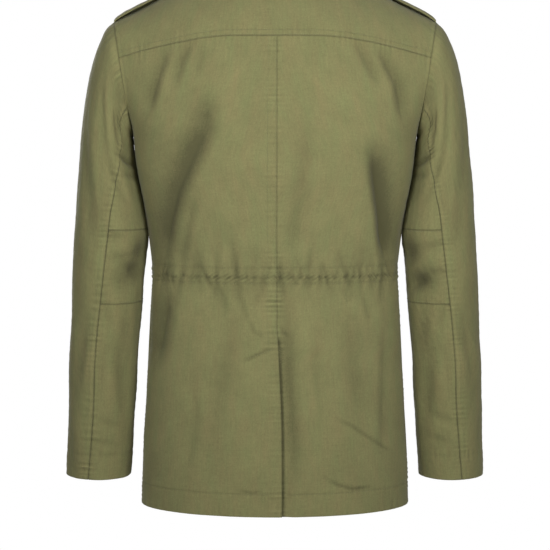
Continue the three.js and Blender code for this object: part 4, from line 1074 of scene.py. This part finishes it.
def sleeve_relief(hand, turn, at):
    """How far a sleeve's cloth stands out of its bare tube, and its tone: painted shade in folds, seams,
    ripples and near the armpit, with lighter wear by the back seam and the head.
    """
    girth = girth_of(at)
    round_it = turn * girth
    press = 0
    for own, place, angle, depth, long, wide, twist in FOLDS_SLEEVE:
        if own in (0, hand):
            along = at - place
            press = press + depth * bell(along, long) * bell(turn - angle - twist * along, wide)
    calm = smooth((at - 12) / 30) * smooth((SLEEVE_LENGTH - 20 - at) / 30)
    back = (turn - seam_turn(at)) * girth
    front = (turn - FRONT_SEAM) * girth
    fine = seam_pucker(at, np.abs(back + SLEEVE_BAND / 2), 200 + hand, 8, 1.0)
    fine = fine + seam_pucker(at, np.abs(front), 210 + hand, 7, 0.5)
    painted_seam_shade = 1.5 * sunk(back) + sunk(at) + 1.2 * sunk(front) + 0.3 * bell(at - SLEEVE_HEM, 1.6)
    # Painted shade on the sleeve's head behind, towards the underarm.
    painted_seam_shade = painted_seam_shade + 0.9 * bell(at - 14, 16) * bell(turn - 104, 17)
    for cross in (ELBOW_TOP, ELBOW_FOOT):
        fine = fine + seam_pucker(round_it, np.abs(at - cross), 220 + hand, 7, 0.4) * (back > 0)
        painted_seam_shade = painted_seam_shade + 1.6 * sunk(at - cross) * (back > 0)
    fine = fine + seam_pucker(round_it, np.abs(at - SLEEVE_HEM), 230 + hand, 7, 0.4)
    fine = fine + seam_pucker(round_it, at, 240 + hand, 10, 0.8)
    broad = 0.7 * unrest(round_it, 0.6 * at, 250 + hand, 60) + 0.22 * unrest(round_it, at, 260 + hand, 17)
    groove = STITCH_GROOVE * (bell(at - SLEEVE_HEM, 1.6) + bell(back + SLEEVE_BAND, 1.4))
    touch = bell(turn - 180, 28) * smooth((at - 24) / 16) * smooth((262 - at) / 20)
    head = HEAD_PUFF * bell(at - 9, 7) + SLEEVE_TOUCH * touch
    edge = smooth(at / 6)
    out = (fine + broad) * edge - press * calm - groove + head * edge
    # Painted shade: darker in folds and seams, lighter and darker with the ripples; the lighter strips beside
    # the back seam and the head are wear.
    tone = 0.7 * fine + 0.15 * broad - 0.2 * press * calm + 0.3 * bell(back + 5, 3) + 0.25 * bell(at - 4, 3)
    return out - 0.5 * sunk(back) - 0.4 * sunk(at - 0.5), np.clip(tone - painted_seam_shade, SHADED, 1)


def sleeve_points(hand, turn, at):
    """A sleeve's outer and inner points and its shading, with its head drawn to the armhole seam."""
    relief, tone = sleeve_relief(hand, turn, at)
    normal = sleeve_normal(turn, at)
    outer = bare_sleeve(turn, at) + normal * relief[..., None]
    thick = CLOTH + HEM_THICK * smooth((at - SLEEVE_HEM) / 3)
    inner = outer - normal * thick[..., None]
    head_outer, head_inner = armhole_edge(turn, 1)
    head = (at <= 0)[..., None]
    outer, inner = np.where(head, head_outer, outer), np.where(head, head_inner, inner)
    outer[..., 0] *= hand
    inner[..., 0] *= hand
    return outer, inner, tone


def sleeve_line(hand, turn, at):
    """A line of points on a sleeve, with their outward directions."""
    turn, at = np.broadcast_arrays(np.asarray(turn, float), np.asarray(at, float))
    outer, inner, tone = sleeve_points(hand, turn, at)
    return outer, unit(outer - inner)


def sleeve_piece(node, hand, edges, start, end, flat, area, lines):
    places = steps(start, (start + 3, END_FINE), (end - 3, SLEEVE_STEP), (end, END_FINE))
    head, foot = HALF_GAP * (start > 0), HALF_GAP * (end < SLEEVE_LENGTH)
    at = np.clip(places, start + head, end - foot)[:, None]
    gap = HALF_GAP / girth_of(at)
    first, last = (edge(at) for edge in edges)
    widest = float(np.max((last - first) * girth_of(at)))
    fine = SEAM_FINE / widest
    columns = steps(0, (4 * fine, fine), (1 - 4 * fine, SLEEVE_STEP / widest), (1, fine))[None, :]
    turn = first + gap + (last - first - 2 * gap) * columns
    outer, inner, tone = sleeve_points(hand, turn, at + 0 * turn)
    piece = shell("cloth_" + node, outer, inner, tone)
    sewn(piece, node, flat, "hung", ["back_yoke"], area, lines)


def sleeve(hand):
    down = np.linspace(3, SLEEVE_LENGTH - 3, 320)
    turn_in = seam_turn(SLEEVE_HEM)
    upper_lines = [
        sleeve_line(hand, seam_turn(down) - inset / girth_of(down), down) for inset in (1.5, SLEEVE_BAND)
    ]
    upper_lines.append(sleeve_line(hand, np.linspace(FRONT_SEAM - 358, turn_in - 2, 160), SLEEVE_HEM))
    cuff_lines = [sleeve_line(hand, np.linspace(turn_in + 2, FRONT_SEAM - 2, 120), SLEEVE_HEM)]
    elbow_lines = []
    for cross in (ELBOW_TOP + ELBOW_ROW, ELBOW_FOOT - ELBOW_ROW):
        round_it = np.linspace(seam_turn(cross) + 1.5, FRONT_SEAM - 1.5, 120)
        elbow_lines.append(sleeve_line(hand, round_it, cross))

    def front(at):
        return FRONT_SEAM + 0 * at

    upper = (lambda at: front(at) - 360, seam_turn)
    under = (seam_turn, front)
    for name, edges, start, end, flat, area, lines in (
        ("sleeve_upper_", upper, 0, SLEEVE_LENGTH, (0.3, 0.62), 0.128, upper_lines),
        ("sleeve_under_", under, 0, ELBOW_TOP, (0.17, 0.2), 0.021, []),
        ("elbow_panel_", under, ELBOW_TOP, ELBOW_FOOT, (0.17, 0.125), 0.0157, elbow_lines),
        ("sleeve_cuff_", under, ELBOW_FOOT, SLEEVE_LENGTH, (0.16, 0.29), 0.0355, cuff_lines),
    ):
        sleeve_piece(name + HAND[hand], hand, edges, start, end, flat, area, lines)


for hand in (-1, 1):
    sleeve(hand)

# Collar
# A stand sewn into the neck seam, and the collar rolled over it and down on to the shoulders, both of doubled
# twill. The collar's edge is stitched all round, and its points lie open at the front.
COLLAR_START = 0.012
STAND_HIGH = 31
STAND_WALL = 2.2
FALL_WALL = 1.8
COLLAR_LEAN = 0.12
COLLAR_FORWARD = 0.3
COLLAR_ROLL = 5
COLLAR_CLEAR = 3.2
ROLL = table("out high", (-0.12, 0.12), (0.12, 0.75), (0.45, 1), (0.9, 0.75))
FALL_ROWS = (0.3, 0.62, 1)
FALL_FINE = 40
FALL_STITCHED = (34, np.s_[8:35, 4], np.s_[8:35, -5])
FALL_EDGE = table(
    "turn reach spread",
    (0, 17, 0),
    (60, 18, 0),
    (90, 21, 0),
    (130, 29, 3),
    (160, 34, 10),
    (172, 34, 16),
    (180, 30, 20),
)


def neck_half(shares, face):
    """Points of one half of the neck seam, the direction away from the neck and the degrees round it."""
    edge = form(face, shares, top_up(face, shares))
    deep = NECK_DEEP[face]
    x, y = edge[..., 0], edge[..., 1] - MIDDLE
    away = unit(np.stack([x / NECK_HALF**2, y / deep**2, 0 * x], -1))
    return edge, away, np.degrees(np.arctan2(x / NECK_HALF, -y / deep))


def neck_ring():
    """The neck seam from the left front round to the right, as neck_half gives it for one half."""
    before = neck_half(np.linspace(COLLAR_START, NECK_SHARE, 48)[:-1], 1)
    behind = neck_half(np.linspace(NECK_SHARE, 0, 44), -1)
    half = [np.concatenate(pair) for pair in zip(before, behind)]
    flip = np.array([-1, 1, 1])
    edge = np.concatenate([half[0][:-1] * flip, half[0][::-1]])
    away = np.concatenate([half[1][:-1] * flip, half[1][::-1]])
    return edge, away, np.concatenate([-half[2][:-1], half[2][::-1]])


def place_above(x, y):
    """The place on the shoulders of points seen from above: the face, with shares across and up."""
    face = np.where(y < MIDDLE, -1, 1)
    across = np.clip(np.abs(x) / SHOULDER_REACH, 0, 0.995)
    up = 0 * across

    def both(column, level):
        behind = form(-1, column, level)
        return np.where((face < 0)[..., None], behind, form(1, column, level))

    for _ in range(12):
        up = search(0.2 + 0 * up, 1 + 0 * up, lambda level: (both(across, level)[..., 1] - y) * face > 0)
        slope = (both(across + STEP, up)[..., 0] - both(across - STEP, up)[..., 0]) / (2 * STEP)
        across = np.clip(across + (np.abs(x) - both(across, up)[..., 0]) / slope, 0.001, 0.995)
    return face, across * np.where(x < 0, -1, 1), up


def on_shoulder(x, y, lift):
    """Points a distance out from the cloth on the shoulders, and their outward directions."""
    face, across, up = place_above(x, y)
    behind = (face < 0)[..., None]
    bare = np.where(behind, form(-1, across, up), form(1, across, up))
    normal = np.where(behind, body_normal(-1, across, up), body_normal(1, across, up))
    return bare + normal * np.asarray(lift)[..., None], normal


edge, away, neck_turn = neck_ring()
rise = unit(np.array([0, COLLAR_FORWARD, 1]) - COLLAR_LEAN * away * (1, 1, 0))
climb = np.linspace(2 * HALF_GAP, STAND_HIGH, 14)[:, None, None]
stand_outer = edge + rise * (climb + HALF_GAP)
stand_inner = stand_outer - away * STAND_WALL
stand_tone = 0.2 * wander(neck_turn, 301, 9) + 0 * climb[..., 0]
collar_stand = shell("cloth_collar_stand", stand_outer, stand_inner, stand_tone)
stand_row = stand_outer[2] - rise * 0.6
sewn(collar_stand, "collar_stand", (0.47, 0.033), "hung", ["back_yoke"], 0.0138, [(stand_row, away)])


def fall_path():
    """The collar's outer side, from inside the roll to its free edge: rows of points round the neck."""
    path = [
        edge + away * COLLAR_ROLL * out + rise * (STAND_HIGH + COLLAR_ROLL * high)
        for out, high in zip(ROLL["out"], ROLL["high"])
    ]
    reach = follow(FALL_EDGE, "turn", "reach", np.abs(neck_turn))
    plan = edge + away * reach[:, None]
    plan_x = plan[:, 0] + np.sign(neck_turn) * follow(FALL_EDGE, "turn", "spread", np.abs(neck_turn))
    foot, _ = on_shoulder(plan_x, plan[:, 1], COLLAR_CLEAR + FALL_WALL + 0 * plan_x)
    crest = path[-1]
    drop = np.linalg.norm(foot - crest, axis=-1, keepdims=True)
    leave = drop * (0.25 * away - rise)
    arrive = foot - crest + away * drop * 0.2
    return path + [arch(crest, leave, foot, arrive, np.full(len(edge), share)) for share in FALL_ROWS]


def along_path(path, count):
    """A smooth curve through each column's points, cut into evenly spaced rows."""
    keys = np.arange(len(path), dtype=float)
    fine = np.linspace(0, len(path) - 1, count)
    columns = np.stack(path).reshape(len(path), -1).T
    made = [follow({"at": keys, "value": column}, "at", "value", fine) for column in columns]
    return np.stack(made, -1).reshape(count, -1, 3)


fall_outer = along_path(fall_path(), FALL_FINE)
fall_along = np.gradient(fall_outer, axis=0)
round_neck = np.stack([away[:, 1], -away[:, 0], 0 * neck_turn], -1)
fall_inward = unit(np.cross(round_neck[None], fall_along))
from_edge = np.linspace(40, 0, FALL_FINE)[:, None]
ripple = 0.35 * seam_pucker(neck_turn[None, :] * 1.4, from_edge, 311, 8, 1.0)
fall_outer = fall_outer - fall_inward * ripple[..., None]
fall_inner = fall_outer + fall_inward * FALL_WALL
# Its tone is painted shade: lighter where the ripple stands out, darker where it sinks.
collar_fall = shell("cloth_collar_fall", fall_outer, fall_inner, np.clip(0.5 * ripple, -1, 1))
fall_rows = [(fall_outer[row], -fall_inward[row]) for row in FALL_STITCHED]
sewn(collar_fall, "collar_fall", (0.66, 0.09), "folded", ["collar_stand"], 0.035, fall_rows)

# Shoulder straps
# A strap of doubled twill along each shoulder, caught in the armhole seam and buttoned near the collar. It
# stands a few millimetres off the yoke over its length, and is stitched round inside its edge.
STRAP = table(
    "x half lift",
    (103, 4, 2.8),
    (113, 19, 3.4),
    (132, 20, 5),
    (160, 21, 7),
    (190, 22, 7.5),
    (214, 23, 7),
    (226, 23, 4.6),
    (231.5, 23, 2.6),
)
STRAP_HEAD = 231.5
STRAP_POINT = 113
STRAP_TIP = 103
STRAP_WALL = 2
STRAP_INSET = 5
STRAP_TURN = 0.75


def strap_points(x, aside, side):
    lift = np.interp(x, STRAP["x"], STRAP["lift"]) + 0.35 * wander(x + 6 * aside, 330 + side, 26)
    half = np.interp(x, STRAP["x"], STRAP["half"])
    outer, normal = on_shoulder(x, MIDDLE + aside * half, lift)
    return outer * (side, 1, 1), normal * (side, 1, 1)


def strap(side):
    x = steps(STRAP_HEAD, (STRAP_POINT, 2.5), (STRAP_TIP, 1.6))[:, None]
    aside = np.linspace(-1, 1, 19)[None, :]
    x, aside = np.broadcast_arrays(x, aside)
    outer, normal = strap_points(x, aside, side)
    inner = outer - normal * STRAP_WALL
    tone = 0.3 * smooth((np.abs(aside) - 0.8) / 0.2) + 0.1 * wander(x, 340, 9)
    piece = shell("cloth_epaulette_" + HAND[side], outer, inner, tone)
    lines = []
    run = np.linspace(STRAP_HEAD - 3.5, STRAP_POINT, 80)
    for edge_side in (-1, 1):
        inset = edge_side * (1 - STRAP_INSET / np.interp(run, STRAP["x"], STRAP["half"]))
        lines.append(strap_points(run, inset, side))
    tip = np.linspace(-STRAP_TURN, STRAP_TURN, 24)
    lines.append(strap_points(STRAP_POINT - STRAP_INSET * (1 - np.abs(tip) / STRAP_TURN), tip, side))
    sewn(piece, "epaulette_" + HAND[side], (0.14, 0.05), "laid", ["back_yoke"], 0.0067, lines)


for side in (-1, 1):
    strap(side)

# Patch pockets
# Four patch pockets sewn on round the sides and the foot, each under a pointed flap that is sewn down above
# it and buttoned. Their edges are turned in, and stitched twice on the pockets and once on the flaps.
FRONT_ARC = 190
FLAP_LIP = 0.012
FLAP_POINT = 11
FLAP_STEP = 2.5
PATCH = 1.4
LAID = 0.8
POCKET_STEP = 3.2
POCKET_INSETS = (1.6, 7)
# For each kind: the shares across at its two sides, the pocket's foot and top, the flap's foot and top, and
# the flat size and area of the pocket and of the flap
POCKETS = {
    "chest": ((0.18, 0.63), (-345, -215), (-251, -203), ((0.125, 0.14), 0.0173), ((0.12, 0.062), 0.0073)),
    "hip": ((0.18, 0.79), (-695, -520), (-561, -507), ((0.16, 0.18), 0.0281), ((0.165, 0.068), 0.01)),
}


def laid(side, share, height, lift):
    """Points of a piece laid on a front, with their outward directions and their shading."""
    across = share * side
    up = up_at(1, share, height)
    bare = form(1, across, up)
    normal = body_normal(1, across, up)
    relief, tone = body_relief(1, across, up, bare)
    return bare + normal * (relief + lift + PATCH)[..., None], normal, tone


def laid_piece(node, side, inner, outer, foot, top, lift_at, drop, flat, area, insets):
    """A pocket or a flap: inner and outer are its sides, foot and top its heights."""
    wide = (outer - inner) * FRONT_ARC
    columns = np.linspace(inner, outer, int(wide / POCKET_STEP))[None, :]
    rows = np.linspace(0, 1, int((top - foot) / POCKET_STEP) + 2)[:, None]

    def height_of(share, part):
        point = drop * (1 - np.abs(2 * (share - inner) / (outer - inner) - 1))
        return foot - point * (1 - part) + (top - foot) * part

    share = columns + 0 * rows
    height = height_of(share, rows)
    points, normal, tone = laid(side, share, height, lift_at(height))
    edge = np.minimum(np.minimum(share - inner, outer - share) * FRONT_ARC, rows * (top - foot))
    fine = 0.35 * seam_pucker(height + share * 150, edge, 350 + side, 7, 0.8) * smooth(edge / 4)
    points = points + normal * fine[..., None]
    behind = points - normal * (PATCH + 0 * fine)[..., None]
    # Painted shade: a dark line at the very edge, and the puckers lit and shaded; the lighter band just
    # inside the edge is wear.
    tone = np.clip(0.6 * fine + 0.3 * bell(edge - 3.5, 2.5) - 1.3 * bell(edge, 1.4), SHADED, 1)
    piece = shell("cloth_" + node, points, behind, tone)
    lines = []
    for inset in insets:
        part = inset / (top - foot)
        down = np.linspace(1, part, 90)
        left, right = inner + inset / FRONT_ARC, outer - inset / FRONT_ARC
        across = np.linspace(left, right, 90)
        for run, climb in ((left + 0 * down, down), (right + 0 * down, down), (across, part + 0 * across)):
            level = height_of(run, climb)
            lines.append(laid(side, run, level, lift_at(level))[:2])
    sewn(piece, node, flat, "laid", ["front_" + HAND[side]], area, lines)


def pocket(kind, side):
    (inner, outer), (foot, top), (flap_foot, flap_top), pocket_cut, flap_cut = POCKETS[kind]
    node = f"{kind}_pocket_{HAND[side]}"
    laid_piece(
        node, side, inner, outer, foot, top,
        lambda height: LAID + 0 * height, 0, *pocket_cut, POCKET_INSETS,
    )

    def flap_lift(height):
        return np.interp(height, (top + FLAP_STEP, flap_top), (LAID + PATCH + LAID, LAID))

    laid_piece(
        node.replace("pocket", "flap"), side, inner - FLAP_LIP, outer + FLAP_LIP, flap_foot, flap_top,
        flap_lift, FLAP_POINT, *flap_cut, POCKET_INSETS[1:],
    )


for side in (-1, 1):
    for kind in POCKETS:
        pocket(kind, side)

# Buttons
# Turned buttons of matt olive-brown plastic with a raised rim and four holes, sewn on with thread: six down
# the front, and smaller ones on the flaps and the straps.
BUTTON_RADIUS = 8.5
BUTTON_THICK = 3
BUTTON_LIFT = 0.5
SMALL_BUTTON = 0.8
BUTTON_HEIGHTS = (-108, -192, -276, -360, -452, -544)
BUTTON_HOLE = 0.9
BUTTON_SIDES = 40
BUTTON_FLOOR = 0.66
HOLE_AWAY = 0.21
HOLE_SIDES = 10
THREAD_APART = 0.22
THREAD_RADIUS = 0.28
THREAD_SIDES = 6
BUTTON_SHARP = 0.7
STRAP_BUTTON = 117.0
FLAP_BUTTON = 3.0
# The turned profile, as shares of the radius and of the thickness
BUTTON_PROFILE = [
    (0.86, 0.0),
    (0.97, 0.14),
    (1.0, 0.5),
    (0.97, 0.84),
    (0.9, 0.99),
    (0.82, 0.98),
    (0.74, 0.76),
    (0.5, 0.66),
]

horn, horn_shader, horn_graph = material("button_plastic", Roughness=0.42)
grain = horn_graph.node("TexCoord", output=3)
grain.noise(180, 3.0, 0.6).blend(tint(58, 55, 38), tint(96, 91, 66)).feed(horn_shader, "Base Color")
(0.36 + 0.2 * grain.noise(700)).feed(horn_shader, "Roughness")
# Painted shade: the holes are near-black discs on the button's floor, not openings.
hole_painted_shade, hole_shader, hole_graph = material("button_hole_painted_shade", Roughness=0.9)
shadowed = hole_graph.node("TexCoord", output=3).noise(500, 1.0)
shadowed.blend(tint(22, 21, 15), tint(34, 32, 22)).feed(hole_shader, "Base Color")


def button(node, spot, outward, size):
    """A button on a point of the cloth, facing outward, its four holes dark discs of painted shade, with
    thread through them.
    """
    radius = BUTTON_RADIUS * size
    away = radius * HOLE_AWAY
    floor_level = BUTTON_THICK * BUTTON_FLOOR
    aside = unit(np.cross(outward, (0, 0.001, 1)))
    upward = np.cross(outward, aside)
    points, faces, marks = [], [], []

    def circle(middle, reach, sides, across):
        turn = (np.arange(sides) * 2 * np.pi / sides)[:, None]
        return middle + reach * (aside * np.cos(turn) + across * np.sin(turn))

    def turned_form(rings, finish, foot=False, lid=False):
        """Rings of points joined one to the next, closed at the first or the last one where asked."""
        first, sides = len(points), len(rings[0])
        points.extend(np.concatenate(rings))
        for low in range(first, len(points) - sides, sides):
            for i in range(sides):
                j = (i + 1) % sides
                faces.append((low + i, low + j, low + sides + j, low + sides + i))
        if foot:
            faces.append(tuple(range(first, first + sides))[::-1])
        if lid:
            faces.append(tuple(range(len(points) - sides, len(points))))
        marks.extend([finish] * (len(faces) - len(marks)))

    rings = []
    for share, level in BUTTON_PROFILE:
        rings.append(circle(spot + outward * BUTTON_THICK * level, radius * share, BUTTON_SIDES, upward))
    turned_form(rings, 0, foot=True, lid=True)
    # Each hole: a short tube capped by a near-black disc of painted shade.
    for a, b in ((-1, -1), (1, -1), (1, 1), (-1, 1)):
        middle = spot + (aside * a + upward * b) * away
        levels = (floor_level - 0.3, floor_level + 0.06)
        rings = [circle(middle + outward * level, BUTTON_HOLE, HOLE_SIDES, upward) for level in levels]
        turned_form(rings, 1, lid=True)
    for a in (-1, 1):
        for strand in (-THREAD_APART, THREAD_APART):
            rings = []
            for end, level in ((-1, 0.05), (-0.5, 0.5), (0.5, 0.5), (1, 0.05)):
                middle = spot + aside * (a * away + strand) + upward * end * away
                middle = middle + outward * (floor_level + level)
                rings.append(circle(middle, THREAD_RADIUS, THREAD_SIDES, outward))
            turned_form(rings, 2)
    piece = placed("sewn_" + node, points, faces, horn, hole_painted_shade, thread)
    piece.data.polygons.foreach_set("material_index", marks)
    piece.data.set_sharp_from_angle(angle=BUTTON_SHARP)
    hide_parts(node)


for i, level in enumerate(BUTTON_HEIGHTS):
    up = up_at(1, np.zeros(1), level)
    bare, outward = form(1, np.zeros(1), up), body_normal(1, np.zeros(1), up)
    stand_off = body_relief(1, np.zeros(1), up, bare)[0] + BUTTON_LIFT
    button(f"front_button_{i + 1}", (bare + outward * stand_off[..., None])[0], outward[0], 1)
for side in (-1, 1):
    for kind, (sides, _, flap, _, _) in POCKETS.items():
        middle = np.full(1, sum(sides) / 2)
        level = np.full(1, flap[0] + FLAP_BUTTON)
        spot, outward, _ = laid(side, middle, level, 2 * LAID + PATCH + BUTTON_LIFT)
        button(f"{kind}_button_{HAND[side]}", spot[0], outward[0], SMALL_BUTTON)
    spot, outward = strap_points(np.full(1, STRAP_BUTTON), np.zeros(1), side)
    button("epaulette_button_" + HAND[side], (spot + outward * BUTTON_LIFT)[0], outward[0], SMALL_BUTTON)

# Floor, lights and camera
# A white floor well below the jacket, soft light from above on the camera's side, and a long lens at the
# height of the shoulder blades, tilted a little down.
FLOOR = -1.5
FLOOR_HALF = 20
WHITE = (1, 1, 1, 1)
CAMERA_AWAY = 3.0
CAMERA_HEIGHT = -0.207
CAMERA_TILT = 4.45
CAMERA_LENS = 134.5
CAMERA_SENSOR = 36

camera_data = bpy.data.cameras.new("camera")
camera_data.lens = CAMERA_LENS
camera_data.sensor_width = CAMERA_SENSOR
camera = bpy.data.objects.new("camera", camera_data)
camera.location = (0, -CAMERA_AWAY, CAMERA_HEIGHT)
camera.rotation_euler = (np.radians(90 - CAMERA_TILT), 0, 0)
bpy.context.collection.objects.link(camera)
bpy.context.scene.camera = camera

floor_material, floor_shader, floor_graph = material("white_floor", Roughness=0.9)
floor_shader.inputs["Base Color"].default_value = (0.8, 0.8, 0.8, 1)
seen = floor_graph.node("LightPath")
lit = Shade(floor_graph.tree, floor_shader.outputs[0])
glow = floor_graph.node("Emission", None, {"Color": WHITE, "Strength": 1.0})
surface = floor_graph.node("MixShader", None, {0: seen, 1: lit, 2: glow})
surface.feed(floor_material.node_tree.nodes["Material Output"], "Surface")
floor_mesh = bpy.data.meshes.new("floor")
corners = [(x * FLOOR_HALF, y * FLOOR_HALF, FLOOR) for x, y in ((-1, -1), (1, -1), (1, 1), (-1, 1))]
floor_mesh.from_pydata(corners, [], [(0, 1, 2, 3)])
floor_mesh.materials.append(floor_material)
floor = bpy.data.objects.new("floor", floor_mesh)
bpy.context.collection.objects.link(floor)

LAMP_SPREAD = 120
AIM = Vector((0, 0, -0.27))
WORLD_GREY = 0.12
# Each lamp's name, place, size and power
LIGHTS = [
    ("right", (0.72, -1.35, -0.05), 0.5, 6.3),
    ("left", (-0.72, -1.35, -0.05), 0.5, 4.7),
    ("crown", (0.0, -0.4, 2.4), 1.6, 6),
    ("front", (-0.8, 2.0, 0.2), 1.2, 14),
]
for name, spot, size, power in LIGHTS:
    lamp_data = bpy.data.lights.new(name, "AREA")
    lamp_data.energy = power
    lamp_data.size = size
    lamp_data.spread = np.radians(LAMP_SPREAD)
    lamp = bpy.data.objects.new(name, lamp_data)
    lamp.location = spot
    lamp.rotation_euler = (AIM - Vector(spot)).to_track_quat("-Z", "Y").to_euler()
    bpy.context.collection.objects.link(lamp)

world = bpy.data.worlds.new("studio")
world.use_nodes = True
bpy.context.scene.world = world
air = Shade(world.node_tree)
seen = air.node("LightPath")
soft_grey = air.node("Background", None, {"Color": WHITE, "Strength": WORLD_GREY})
seen_white = air.node("Background", None, {"Color": WHITE, "Strength": 1.0})
mixed = air.node("MixShader", None, {0: seen, 1: soft_grey, 2: seen_white})
mixed.feed(world.node_tree.nodes["World Output"], "Surface")
bpy.context.scene.view_settings.view_transform = "Standard"
